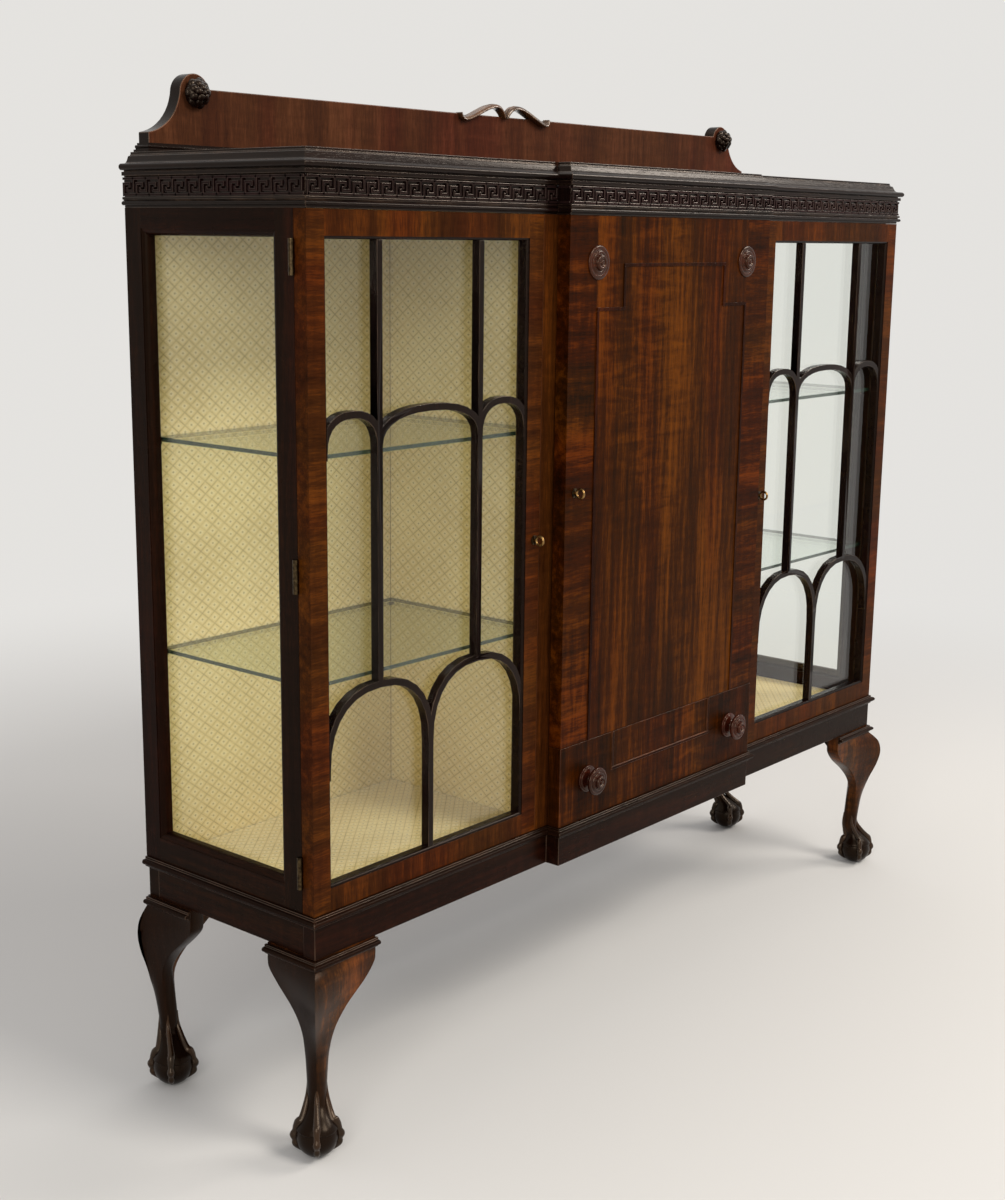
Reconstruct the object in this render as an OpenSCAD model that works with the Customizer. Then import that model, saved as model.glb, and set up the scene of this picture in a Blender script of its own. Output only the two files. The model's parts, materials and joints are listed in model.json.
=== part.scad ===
// China cabinet: a breakfront case on claw-and-ball feet, with two glazed doors,
// a panelled centre door over a drawer, and a scrolled gallery along the back.
// +X is right, the front faces -Y and +Z is up. The origin is on the floor, midway
// between the knobs and the rear plane. Inside the modules, Y = 0 is the glazed doors' face.

/* [Case] */
// Width of the case between its outer side faces
body_w = 1370; // [1260:10:1560]
// Depth from the glazed doors' faces to the rear plane
body_d = 317; // [290:1:400]
// Height of the case from its floor to the underside of the frieze
case_h = 828; // [790:1:1000]
// Width of the centre section, which stands forward
centre_w = 484; // [400:2:580]
// How far the centre section stands forward
breakfront = 22; // [21:0.5:26]
// Thickness of the side frames
side_t = 20; // [19:0.5:26]
// Width of the fixed upright between a glazed door and the centre door
post_w = 27; // [22:1:40]
// Thickness of the partitions beside the centre section
partition_t = 18; // [18:1:24]
// How far the centre door laps over each post
door_lap = 10; // [8:1:14]
// Thickness of the back panel
back_t = 8; // [6:1:12]
// How far the back panel is let in from the rear plane
back_inset = 7; // [4:1:12]
// Thickness of the boards above and below the centre compartment
board_t = 18; // [16:1:22]
// Thickness of the padded fabric lining
lining_t = 2; // [1.5:0.5:4]

/* [Stand] */
// Height of the legs up to the aprons
leg_h = 259; // [220:1:300]
// Height of the aprons
apron_h = 41; // [34:1:60]
// Thickness of the aprons
apron_t = 20; // [18:1:26]
// How far the side aprons are set in from the case's sides
apron_inset = 3; // [1:0.5:6]
// Height of the waist moulding and of the floor board behind it
waist_h = 14; // [13:0.5:20]
// How far the waist moulding stands out
waist_out = 8.5; // [6:0.5:12]
// Thickness of the bracket at the top of a leg
bracket_t = 22; // [20:1:28]
// Length of a leg's bracket along the front
bracket_front = 105; // [80:1:120]
// Length of a leg's bracket along the side
bracket_side = 86; // [70:1:110]
// Radius of the ball in a foot
ball_r = 27; // [24:0.5:30]
// Radius of a leg at its ankle
ankle_r = 13; // [11:0.5:16]
// Height of the moulding around the top of a leg
capital_h = 12; // [10:1:16]
// How far that moulding stands out
capital_out = 9; // [6:0.5:12]

/* [Doors] */
// Thickness of every door and of the drawer front
door_t = 20; // [18:0.5:21]
// Gap between a glazed door and the case behind it
door_gap = 0.6; // [0.4:0.1:1.5]
// Clear gap around the edges of doors and the drawer front
edge_gap = 0.5; // [0.3:0.1:1.5]
// Width of a door's upright stiles
stile_w = 27.4; // [24:0.2:40]
// Width of a door's rails
rail_w = 29.5; // [24:0.5:40]
// Width of the moulding inside a door frame
door_stick = 3.5; // [3:0.5:6]
// Depth of the beads behind a door's glass
door_bead_deep = 2.5; // [2:0.5:5]
// Thickness of the panes
glass_t = 3; // [2.5:0.5:3]
// How far a pane sits in its rabbet
rabbet_w = 6; // [5:0.5:8]
// Width of the glazing bars
bar_w = 9; // [7:0.5:12]
// Depth of the glazing bars' faces behind a door's face
bar_drop = 2; // [1:0.5:4]
// Height above the case floor of the tops of the lower arches
low_arch_top = 271; // [200:1:320]
// Height of the curved part of the lower arches
low_arch_rise = 99; // [60:1:120]
// Height above the case floor of the tops of the upper arches
mid_arch_top = 600.8; // [500:1:700]
// Height of the curved part of the upper arches
mid_arch_rise = 46; // [30:1:60]
// Squareness of the arches, where 2 is an ellipse
arch_power = 2.4; // [2:0.1:3]

/* [Side frames] */
// Width of the side frames' front stiles
side_stile_front = 30.2; // [28:0.2:40]
// Width of the side frames' rear stiles
side_stile_rear = 29; // [29:1:40]
// Width of the bottom rails
side_rail_low = 30.5; // [26:0.5:40]
// Width of the top rails
side_rail_top = 24; // [22:1:40]
// Width of the moulding inside a side frame
side_stick = 8; // [4:0.5:9]
// Depth of the beads behind a side pane
side_bead_deep = 2; // [1.5:0.5:4]

/* [Centre door and drawer] */
// Height above the case floor where the centre door meets the drawer front
drawer_h = 114; // [100:1:140]
// Half the width of the beaded panel
panel_half_w = 180.4; // [130:0.2:190]
// Half the width of the panel's narrow ends
panel_neck_w = 122; // [80:1:128]
// Height below the frieze of the panel's shoulders
panel_shoulder = 121.3; // [90:0.1:140]
// Height below the frieze of the panel's top end
panel_top = 63.7; // [40:0.1:80]
// Height above the case floor of the panel's bottom end, on the drawer
panel_foot = 59.2; // [45:0.1:70]
// Width of the bead that outlines the panel
bead_w = 4; // [3:0.5:6]
// How far the bead stands out
bead_out = 1.6; // [1:0.2:3]
// Distance of the knobs and roundels from the middle
knob_x = 181; // [140:1:200]
// Height of the knobs above the case floor
knob_z = 58; // [45:1:70]
// Depth of the roundels' centres below the frieze
roundel_drop = 60.5; // [40:0.5:80]
// Diameter of the knobs' heads
knob_d = 40; // [30:1:46]
// How far the knobs stand out of the drawer front
knob_out = 28; // [22:1:32]
// Diameter of the roundels
roundel_d = 45; // [36:1:50]
// How far the roundels stand out
roundel_out = 8; // [5:0.5:12]
// Diameter of the tenons that hold knobs and roundels
tenon_d = 10; // [8:1:12]
// Thickness of the drawer's sides
drawer_side_t = 12; // [9:1:14]
// Thickness of the drawer's bottom
drawer_bottom_t = 5; // [4:0.5:7]
// Gap between the drawer and the partitions
drawer_gap = 2; // [1:0.5:3]
// Height of the drawer runners
runner_h = 4; // [3:0.5:8]
// Width of the drawer runners
runner_w = 20; // [15:1:30]
// Running gap between the drawer and its runners
runner_gap = 0.3; // [0.2:0.1:0.5]

/* [Shelves] */
// Height of the lower glass shelves above the case floor
low_shelf_h = 274; // [150:1:330]
// Height of the upper glass shelves above the case floor
high_shelf_h = 545; // [400:1:700]
// Thickness of the glass shelves
shelf_glass_t = 6; // [5:0.5:8]
// Height of the lower wooden shelf above the case floor
low_board_h = 345; // [250:1:450]
// Height of the upper wooden shelf above the case floor
high_board_h = 585; // [500:1:700]
// Thickness of the wooden shelves
shelf_board_t = 16; // [12:1:20]
// Gap between a shelf and what is beside it
shelf_gap = 1; // [0.5:0.5:2]
// Radius of the shelf pegs
peg_r = 2.5; // [2:0.5:3]
// Depth of the pegs in the wood, and their length outside it
peg_l = 8; // [6:0.5:8.5]

/* [Frieze, cornice and gallery] */
// Height of the frieze board
frieze_h = 36.5; // [30:0.5:50]
// Thickness of the frieze board
frieze_t = 20; // [18:1:24]
// Height of the cornice above the frieze board
cornice_h = 29.5; // [28:0.5:36]
// How far the cornice's torus stands out
torus_out = 7.5; // [6:0.5:10]
// Thickness of the top board
top_t = 18; // [14:1:22]
// Thickness of the gallery board
gallery_t = 20; // [16:1:24]
// How far the gallery's ends are set in from the case's sides
gallery_inset = 24; // [16:1:40]
// Height of the gallery board
gallery_h = 79; // [60:1:100]
// Radius of the scrolls at the gallery's ends
scroll_r = 23.5; // [16:0.5:26]
// Distance of the scrolls' centres from the gallery's ends
scroll_in = 73; // [60:1:90]
// Height of the scrolls' centres above the cornice
scroll_z = 73; // [60:1:90]
// Radius of the hollow curve below each scroll
hollow_r = 60; // [40:0.5:64]
// Diameter of the rosettes
rosette_d = 38; // [30:1:42]
// How far the rosettes stand out
rosette_out = 21; // [12:0.5:24]
// Half the length of the gallery's crest
crest_half_l = 95; // [60:1:120]
// Thickness of the crest
crest_t = 10; // [6:1:14]

/* [Hinges and locks] */
// Radius of the hinge pins
pin_r = 1.75; // [1.5:0.05:2]
// Running clearance between a pin and its knuckle
pin_fit = 0.05; // [0.02:0.01:0.08]
// Outer radius of the hinge knuckles
knuckle_r = 3.5; // [3:0.1:4]
// Height of a hinge
hinge_h = 38; // [30:1:50]
// Width of a hinge leaf
leaf_w = 20; // [16:1:22]
// Thickness of a hinge leaf
leaf_t = 1.2; // [1:0.1:2]
// Height of the outer hinges' middles above and below the case opening's ends
hinge_end = 53; // [40:1:80]
// Height of the locks on the glazed doors above the case floor
side_lock_h = 407; // [300:1:500]
// Height of the lock on the centre door above the case floor
centre_lock_h = 466; // [350:1:560]
// Distance of a glazed door's keyhole from its closing edge
side_key_in = 9.6; // [9.5:0.1:9.8]
// Distance of the centre door's keyhole from its closing edge
centre_key_in = 20; // [19:0.5:22]
// Height of a lock case
lock_h = 46; // [40:1:60]
// Travel of a lock bolt
bolt_travel = 8; // [6:0.5:8]
// Height of a lock bolt
bolt_h = 12; // [10:1:16]
// Radius of a key's shank
key_r = 2.3; // [2:0.1:2.5]
// Reach of a key's bit below its shank's middle
bit_reach = 7.5; // [6:0.5:7.5]
// Radius of a key's ring, to the middle of its wire
key_ring_r = 6; // [5:0.5:7]
// Radius of a key's wire
key_wire_r = 1.7; // [1.4:0.1:2]

/* [Hidden] */
$fn = 48;

mahogany = "#4a2413";
dark_mahogany = "#321811";
brass = "#a88647";
pale_cloth = "#c8b27a";
glass_tint = [0.75, 0.88, 0.85, 0.3];

// Glue line that keeps butted and mitred lengths separate pieces
glue = 0.1;
// Clearance of a fixed pin, screw or tenon in its hole
hole_fit = 0.1;
// Clearance of a moving lock part in its case
lock_fit = 0.3;
// Clearance of a pane in its rabbet
pane_fit = 1;
// How far a cutting shape runs past the face it cuts
over = 1;

// How far a lined partition is set in from the centre section's edge
partition_inset = 2;

half_w = body_w / 2;
half_c = centre_w / 2;
apron_z = leg_h;
floor_z = apron_z + apron_h;
case_z = floor_z + waist_h;
case_top = case_z + case_h;
cornice_z = case_top + frieze_h;
top_z = cornice_z + cornice_h;
drawer_top = case_z + drawer_h;
front_y = -breakfront;
case_y = door_t + door_gap;
door_recess = door_t - glass_t - door_bead_deep;
side_recess = side_t - glass_t - side_bead_deep;
back_y = body_d - back_inset - back_t;
face_y = (breakfront + knob_out - body_d) / 2;
inner_w = half_w - side_t;
post_in = half_c - door_lap;
post_out = half_c + post_w;
partition_out = half_c - lining_t - partition_inset;
partition_in = partition_out - partition_t;
door_x = post_out + edge_gap;
door_w = half_w - door_x;
door_h = case_h - 2 * edge_gap;
door_z = case_z + edge_gap;
arch_span = door_w - 2 * stile_w;
arch_left = door_x + stile_w;
bar_half = bar_w / 2;

// Hinge axes
pin_gap = 0.3;
side_pin_x = half_w + knuckle_r + pin_gap;
side_pin_y = door_t + door_gap / 2;
centre_pin_x = half_c + knuckle_r + 0.5;
centre_pin_y = -knuckle_r - 0.5;
hinge_heights = [case_z + hinge_end, case_z + case_h / 2, case_top - hinge_end];
centre_hinge_heights = [drawer_top + hinge_end, case_z + (drawer_h + case_h) / 2, case_top - hinge_end];
knuckle_h = (hinge_h - 2 * pin_gap) / 3;
screw_r = 1.9;
screw_core_r = 1.2;
screw_l = 10;
screw_dz = 11;
pin_cap_h = 1.2;

// Locks
key_hole_r = key_r + lock_fit;
side_key_x = door_x + side_key_in;
side_key_z = case_z + side_lock_h;
centre_key_x = -half_c + centre_key_in;
centre_key_z = case_z + centre_lock_h;
lock_half = bit_reach + lock_fit + 0.9;
lock_wall = 1.1;
lock_front = 10;
bit_t = 2.4;
bit_w = 1.6;
bolt_t = 3.6;
bolt_l = 13;
escutcheon_r = 6.5;
escutcheon_t = 1;

module place() {
    translate([0, face_y, 0])
        children();
}

module flip() {
    mirror([1, 0, 0])
        children();
}

module both() {
    children();
    flip() children();
}

// A box between two opposite corners
module block(low, high) {
    translate(low)
        cube(high - low);
}

// A flat shape drawn in X and Z, with its front at y and its thickness going back
module plate(y, thickness) {
    translate([0, y + thickness, 0])
        rotate([90, 0, 0])
            linear_extrude(thickness)
                children();
}

// A round bar whose axis runs back from a front point
module rod_y(at, r, l) {
    translate(at)
        rotate([-90, 0, 0])
            cylinder(r = r, h = l);
}

module rod_x(at, r, l) {
    translate(at)
        rotate([0, 90, 0])
            cylinder(r = r, h = l);
}

// One length of moulding from a to b. The profile is drawn as how far it stands out and its
// height. turn_a and turn_b are 1 at an outer corner, -1 at an inner corner and 0 at a square end.
module moulding_run(a, b, turn_a, turn_b, inner, outer, low, high) {
    run = b - a;
    l = norm(run);
    translate([a[0], a[1], 0])
        rotate([0, 0, atan2(run[1], run[0])])
            intersection() {
                translate([-outer - over, 0, 0])
                    rotate([90, 0, 90])
                        linear_extrude(l + 2 * (outer + over))
                            mirror([1, 0])
                                children();
                translate([0, 0, low - over])
                    linear_extrude(high - low + 2 * over)
                        polygon([[glue / 2 - turn_a * inner, -inner],
                            [l - glue / 2 + turn_b * inner, -inner],
                            [l - glue / 2 + turn_b * outer, -outer],
                            [glue / 2 - turn_a * outer, -outer]]);
            }
}

// Mitred lengths of moulding along a path, which keeps the outside on its right
module moulding(path, turns, inner, outer, low, high) {
    for (i = [0:len(path) - 2])
        moulding_run(path[i], path[i + 1], turns[i], turns[i + 1], inner, outer, low, high)
            children();
}

function case_path(rear) = [[-half_w, rear], [-half_w, 0], [-half_c, 0], [-half_c, front_y],
    [half_c, front_y], [half_c, 0], [half_w, 0], [half_w, rear]];
case_turns = [0, 1, -1, 1, 1, -1, 1, 0];

// The case's plan, set in from its front and sides
module case_plan(inset, rear) {
    polygon([[-half_w + inset, rear], [-half_w + inset, inset], [-half_c + inset, inset],
        [-half_c + inset, front_y + inset], [half_c - inset, front_y + inset],
        [half_c - inset, inset], [half_w - inset, inset], [half_w - inset, rear]]);
}

// ---- Glazed frames ----

// Half of a rounded moulding: a quarter round in front and a straight wall down to the glass
module stick_profile(width, recess) {
    step = 1;
    union() {
        square_from([0, -recess], [width, -step - width]);
        intersection() {
            translate([0, -step - width])
                circle(r = width);
            square_from([0, -step - width - over], [width, 0]);
        }
    }
}

// One piece of a frame that is w wide and h high, with its face at y = 0. The sides are
// the left stile, the top rail, the right stile and the bottom rail.
module frame_piece(side, w, h, left, top, right, low, t, stick, recess) {
    opening = [[left, low], [left, h - top], [w - right, h - top], [w - right, low], [left, low]];
    lows = [[0, 0], [left + glue, h - top], [w - right, 0], [left + glue, 0]];
    highs = [[left, h], [w - right - glue, h], [w, h], [w - right - glue, low]];
    difference() {
        union() {
            block([lows[side][0], 0, lows[side][1]], [highs[side][0], t, highs[side][1]]);
            rotate([90, 0, 0])
                moulding_run(opening[side], opening[side + 1], -1, -1, 0, stick, -recess, 0)
                    stick_profile(stick, recess);
        }
        block([left - rabbet_w, recess, low - rabbet_w],
            [w - right + rabbet_w, t + over, h - top + rabbet_w]);
    }
}

// The bead strips that hold a pane in its rabbet, cut to the four sides
module pane_beads(w, h, left, top, right, low, t, front) {
    a = [left - rabbet_w, low - rabbet_w];
    b = [w - right + rabbet_w, h - top + rabbet_w];
    block([a[0], front, a[1]], [left, t, b[1]]);
    block([w - right, front, a[1]], [b[0], t, b[1]]);
    block([left + glue, front, a[1]], [w - right - glue, t, low]);
    block([left + glue, front, h - top], [w - right - glue, t, b[1]]);
}

module pane(w, h, left, top, right, low, front) {
    reach = rabbet_w - pane_fit;
    block([left - reach, front, low - reach], [w - right + reach, front + glass_t, h - top + reach]);
}

module right_side_place() {
    translate([half_w, case_y, case_z])
        rotate([0, 0, 90])
            children();
}

side_frame_w = body_d - case_y;

module side_frame_piece(side) {
    frame_piece(side, side_frame_w, case_h, side_stile_front, side_rail_top, side_stile_rear,
        side_rail_low, side_t, side_stick, side_recess);
}

module right_side_frame_shape() {
    difference() {
        right_side_place()
            for (side = [0:3])
                side_frame_piece(side);
        side_peg_holes();
        for (z = hinge_heights)
            translate([side_pin_x, side_pin_y, z])
                side_fixed_leaf_cut();
    }
}

// ---- Hinges ----
// Each hinge is drawn with its pin on the Z axis and its middle at the origin.

module leaf_screw_holes(l) {
    for (z = [-screw_dz, screw_dz])
        translate([0, 0, z]) {
            rotate([-90, 0, 0])
                translate([0, 0, -over])
                    cylinder(r = screw_r + hole_fit, h = leaf_t + over);
            rotate([-90, 0, 0])
                cylinder(r = screw_core_r + hole_fit, h = l);
        }
}

// Two screws whose heads lie in a leaf that starts at y = 0 and faces -Y
module leaf_screws() {
    for (z = [-screw_dz, screw_dz])
        translate([0, 0, z])
            rotate([-90, 0, 0]) {
                cylinder(r = screw_r, h = leaf_t);
                cylinder(r = screw_core_r, h = screw_l);
            }
}

module knuckle(low, high) {
    translate([0, 0, low])
        cylinder(r = knuckle_r, h = high - low);
}

module pin_bore() {
    cylinder(r = pin_r + pin_fit, h = hinge_h + 2 * over, center = true);
}

side_leaf_x = -knuckle_r - pin_gap;
side_leaf_mid = side_leaf_x - leaf_w / 2;

// The glazed door's leaf: let into the door's back, with the middle knuckle
module side_moving_leaf() {
    back = -door_gap / 2;
    difference() {
        union() {
            block([side_leaf_x - leaf_w, back - leaf_t, -hinge_h / 2], [side_leaf_x, back, hinge_h / 2]);
            block([side_leaf_x - over, back - leaf_t, -knuckle_h / 2], [0, back, knuckle_h / 2]);
            knuckle(-knuckle_h / 2, knuckle_h / 2);
        }
        pin_bore();
        translate([side_leaf_mid, back, 0])
            mirror([0, 1, 0])
                leaf_screw_holes(screw_l);
    }
}

// The case's leaf: let into the front of the side frame, with the outer knuckles
module side_fixed_leaf() {
    front = door_gap / 2;
    difference() {
        union() {
            block([side_leaf_x - leaf_w, front, -hinge_h / 2], [side_leaf_x, front + leaf_t, hinge_h / 2]);
            for (s = [-1, 1])
                scale_z(s) {
                    block([side_leaf_x - over, front, knuckle_h / 2 + pin_gap],
                        [0, front + leaf_t, hinge_h / 2]);
                    knuckle(knuckle_h / 2 + pin_gap, hinge_h / 2);
                }
        }
        pin_bore();
        translate([side_leaf_mid, front, 0])
            leaf_screw_holes(screw_l);
    }
}

// The upper half as drawn, or its mirror image below
module scale_z(s) {
    mirror([0, 0, s < 0 ? 1 : 0])
        children();
}

module side_moving_leaf_cut() {
    back = -door_gap / 2;
    block([side_leaf_x - leaf_w - hole_fit, back - leaf_t - hole_fit / 2, -hinge_h / 2 - hole_fit],
        [0, back + over, hinge_h / 2 + hole_fit]);
    translate([side_leaf_mid, back - leaf_t, 0])
        mirror([0, 1, 0])
            rotate([-90, 0, 0])
                for (z = [-screw_dz, screw_dz])
                    translate([0, z, -over / 2])
                        cylinder(r = screw_core_r + hole_fit, h = screw_l - leaf_t + over);
}

module side_fixed_leaf_cut() {
    front = door_gap / 2;
    block([side_leaf_x - leaf_w - hole_fit, front - over, -hinge_h / 2 - hole_fit],
        [0, front + leaf_t + hole_fit / 2, hinge_h / 2 + hole_fit]);
    translate([side_leaf_mid, front + leaf_t, 0])
        rotate([-90, 0, 0])
            for (z = [-screw_dz, screw_dz])
                translate([0, z, -over / 2])
                    cylinder(r = screw_core_r + hole_fit, h = screw_l - leaf_t + over);
}

module hinge_pin() {
    cylinder(r = pin_r, h = hinge_h, center = true);
    for (s = [-1, 1])
        scale_z(s)
            translate([0, 0, hinge_h / 2])
                cylinder(r = knuckle_r, h = pin_cap_h);
}

// The centre door's leaf lies in the door's edge, in front of the pin
centre_leaf_w = door_t - 4;
centre_edge_x = half_c - centre_pin_x;
centre_door_back = front_y + door_t - centre_pin_y;

module centre_moving_leaf() {
    rear = min(centre_door_back - over, 0);
    mid = rear - centre_leaf_w / 2;
    difference() {
        union() {
            block([centre_edge_x - leaf_t, rear - centre_leaf_w, -hinge_h / 2],
                [centre_edge_x, rear, hinge_h / 2]);
            block([centre_edge_x - leaf_t, rear - knuckle_r / 2, -knuckle_h / 2],
                [0, rear, knuckle_h / 2]);
            knuckle(-knuckle_h / 2, knuckle_h / 2);
        }
        pin_bore();
        translate([centre_edge_x, mid, 0])
            rotate([0, 0, 90])
                leaf_screw_holes(screw_l);
    }
}

module centre_moving_leaf_cut() {
    rear = min(centre_door_back - over, 0);
    block([centre_edge_x - leaf_t - hole_fit / 2, rear - centre_leaf_w - hole_fit, -hinge_h / 2 - hole_fit],
        [centre_edge_x + over, rear + hole_fit, hinge_h / 2 + hole_fit]);
    translate([centre_edge_x - leaf_t, rear - centre_leaf_w / 2, 0])
        rotate([0, -90, 0])
            for (z = [-screw_dz, screw_dz])
                translate([z, 0, -over / 2])
                    cylinder(r = screw_core_r + hole_fit, h = screw_l - leaf_t + over);
}

// The post's leaf lies in the post's face, beside the pin
module centre_fixed_leaf() {
    front = -centre_pin_y;
    difference() {
        union() {
            block([knuckle_r, front, -hinge_h / 2], [knuckle_r + leaf_w, front + leaf_t, hinge_h / 2]);
            for (s = [-1, 1])
                scale_z(s) {
                    block([0, front, knuckle_h / 2 + pin_gap],
                        [knuckle_r + over, front + leaf_t, hinge_h / 2]);
                    block([pin_r + leaf_t / 2, 0, knuckle_h / 2 + pin_gap],
                        [knuckle_r, front + leaf_t, hinge_h / 2]);
                    knuckle(knuckle_h / 2 + pin_gap, hinge_h / 2);
                }
        }
        pin_bore();
        translate([knuckle_r + leaf_w / 2, front, 0])
            leaf_screw_holes(screw_l);
    }
}

module centre_fixed_leaf_cut() {
    front = -centre_pin_y;
    block([-hole_fit, front - over, -hinge_h / 2 - hole_fit],
        [knuckle_r + leaf_w + hole_fit, front + leaf_t + hole_fit / 2, hinge_h / 2 + hole_fit]);
    translate([knuckle_r + leaf_w / 2, front + leaf_t, 0])
        rotate([-90, 0, 0])
            for (z = [-screw_dz, screw_dz])
                translate([0, z, -over / 2])
                    cylinder(r = screw_core_r + hole_fit, h = screw_l - leaf_t + over);
}

// ---- Locks and keys ----
// Each lock is drawn with its key's axis on the Y axis and its case's front at y = 0.
// The bolt shoots towards -X.

module lock_case() {
    cavity_t = bit_t + lock_fit;
    case_t = 2 * lock_wall + cavity_t + bolt_t + 3 * lock_fit;
    difference() {
        block([-lock_half, 0, -lock_h / 2], [lock_half, case_t, lock_h / 2]);
        rod_y([0, -over, 0], key_hole_r, lock_wall + 2 * over);
        block([-bit_w / 2 - lock_fit, -over, -bit_reach - lock_fit],
            [bit_w / 2 + lock_fit, lock_wall + over, 0]);
        rod_y([0, lock_wall, 0], bit_reach + lock_fit, cavity_t);
        block([-lock_half - over, lock_wall + cavity_t - lock_fit, -bolt_h / 2 - lock_fit],
            [lock_half - lock_wall, case_t - lock_wall, bolt_h / 2 + lock_fit]);
    }
}

module lock_bolt() {
    y = lock_wall + bit_t + 2 * lock_fit;
    block([-lock_half + lock_fit, y, -bolt_h / 2], [-lock_half + lock_fit + bolt_l, y + bolt_t, bolt_h / 2]);
}

// A key whose bit ends in the case. The front distance is from the case to the door's face.
module key(front) {
    ring_y = -front - key_ring_r - 2 * key_wire_r;
    rod_y([0, ring_y + key_ring_r, 0], key_r, front + 2 * key_wire_r + lock_wall + bit_t);
    translate([0, ring_y, 0])
        rotate([0, 90, 0])
            rotate_extrude()
                translate([key_ring_r, 0])
                    circle(r = key_wire_r);
    block([-bit_w / 2, lock_wall + lock_fit, -bit_reach], [bit_w / 2, lock_wall + bit_t, 0]);
}

module keyhole_cut(front) {
    rod_y([0, -front - over, 0], key_hole_r, front + 2 * over);
    block([-bit_w / 2 - lock_fit, -front - over, -bit_reach - lock_fit], [bit_w / 2 + lock_fit, over, 0]);
}

module escutcheon(front) {
    difference() {
        rod_y([0, -front - escutcheon_t, 0], escutcheon_r, escutcheon_t);
        rod_y([0, -front - escutcheon_t - over, 0], key_hole_r, escutcheon_t + 2 * over);
        block([-bit_w / 2 - lock_fit, -front - escutcheon_t - over, -bit_reach - lock_fit],
            [bit_w / 2 + lock_fit, -front + over, 0]);
    }
}

module lock_pocket_cut() {
    y = lock_wall + bit_t + lock_fit;
    block([-lock_half - edge_gap - over - bolt_travel, y, -bolt_h / 2 - lock_fit],
        [0, y + bolt_t + 2 * lock_fit, bolt_h / 2 + lock_fit]);
}

// ---- Stand ----

module front_apron_shape() {
    translate([0, 0, apron_z])
        linear_extrude(apron_h)
            difference() {
                case_plan(0, apron_t);
                polygon([[-half_c + apron_t, apron_t + over], [-half_c + apron_t, front_y + apron_t],
                    [half_c - apron_t, front_y + apron_t], [half_c - apron_t, apron_t + over]]);
            }
}

module front_apron() {
    color(mahogany)
        place()
            front_apron_shape();
}

module side_aprons() {
    x = half_w - apron_inset;
    color(dark_mahogany)
        place()
            both()
                block([x - apron_t, apron_t, apron_z], [x, body_d - apron_t, floor_z]);
}

module back_apron() {
    x = half_w - apron_inset;
    color(dark_mahogany)
        place()
            block([-x, body_d - apron_t, apron_z], [x, body_d, floor_z]);
}

// Glue blocks inside the corners of the stand
block_l = 30;
module corner_blocks() {
    x = half_w - apron_inset - apron_t;
    color("#8a6238")
        place()
            both()
                for (y = [apron_t, body_d - apron_t - block_l])
                    block([x - block_l, y, apron_z], [x, y + block_l, floor_z]);
}

// A cabriole leg drawn at a corner at the origin, with its brackets along -X and +Y.
// Each level gives a height, how far the knee's arris stands out along the diagonal, how far
// the brackets reach along the front and the side, and the radius of the round parts.
block_h = leg_h * 0.0734;
leg_levels = [
    [0.926, 12, 1, 1, 11],
    [0.86, 23.5, 0.95, 0.95, 12],
    [0.80, 25.5, 0.8, 0.78, 13],
    [0.71, 19, 0.52, 0.5, 14],
    [0.61, 9, 0.32, 0.3, 14],
    [0.50, -1, 0.21, 0.22, 14],
    [0.39, -7.5, 0.17, 0.17, 13]];
foot_top = 0.26;
foot_out = -9;

function arris(level) = (level[1] - level[4]) / sqrt(2);

module leg_round(x, y, z, r) {
    translate([x, y, z])
        cylinder(r = r, h = 0.5, $fn = 20);
}

// The wing of a leg between two levels. The reach is 2 along the front and 3 along the side.
module leg_wing(low, high, reach, length) {
    hull()
        for (level = [low, high]) {
            a = arris(level);
            tip = max(level[reach] * length - level[4], 0);
            leg_round(a, -a, level[0] * leg_h, level[4]);
            if (reach == 2)
                leg_round(min(a, -tip), -a + 0.4 * max(a, 0), level[0] * leg_h, level[4] * 0.8);
            else
                leg_round(a - 0.4 * max(a, 0), max(-a, tip), level[0] * leg_h, level[4] * 0.8);
        }
}

// A claw has four knuckles round the ball, each thinner than the one above it
claw_start = 14;
claw_step = 36;
claw_r = 7.5;
claw_taper = 1.2;

module claw(angle) {
    rotate([0, 0, angle])
        for (k = [0:2])
            hull()
                for (j = [k, k + 1]) {
                    bend = claw_start + claw_step * j;
                    translate([sin(bend) * ball_r, 0, ball_r + cos(bend) * ball_r])
                        sphere(r = claw_r - claw_taper * j, $fn = 10);
                }
}

module foot() {
    flat = 1.5;
    difference() {
        union() {
            translate([0, 0, ball_r - flat])
                sphere(r = ball_r, $fn = 32);
            for (angle = [45:90:315])
                translate([0, 0, -flat])
                    claw(angle);
        }
        translate([0, 0, -ball_r])
            cube([4 * ball_r, 4 * ball_r, 2 * ball_r], center = true);
    }
}

foot_in = 6.4;
rear_foot_in = 33;

// The foot's middle lies foot_y behind the leg's front corner
module leg(foot_y) {
    front = bracket_front;
    side = bracket_side;
    ankle = arris([0, foot_out, 0, 0, ankle_r]);
    block([-front, 0, leg_h - block_h], [0, bracket_t, leg_h]);
    block([-bracket_t, 0, leg_h - block_h], [0, side, leg_h]);
    for (i = [0:len(leg_levels) - 2]) {
        leg_wing(leg_levels[i + 1], leg_levels[i], 2, front);
        leg_wing(leg_levels[i + 1], leg_levels[i], 3, side);
    }
    last = leg_levels[len(leg_levels) - 1];
    hull() {
        leg_round(arris(last), -arris(last), last[0] * leg_h, last[4]);
        leg_round(ankle, -ankle, foot_top * leg_h, ankle_r);
    }
    hull() {
        leg_round(ankle, -ankle, foot_top * leg_h, ankle_r);
        leg_round(-foot_in, foot_y, 1.7 * ball_r, ankle_r * 1.3);
    }
    translate([-foot_in, foot_y, 0])
        foot();
}

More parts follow.
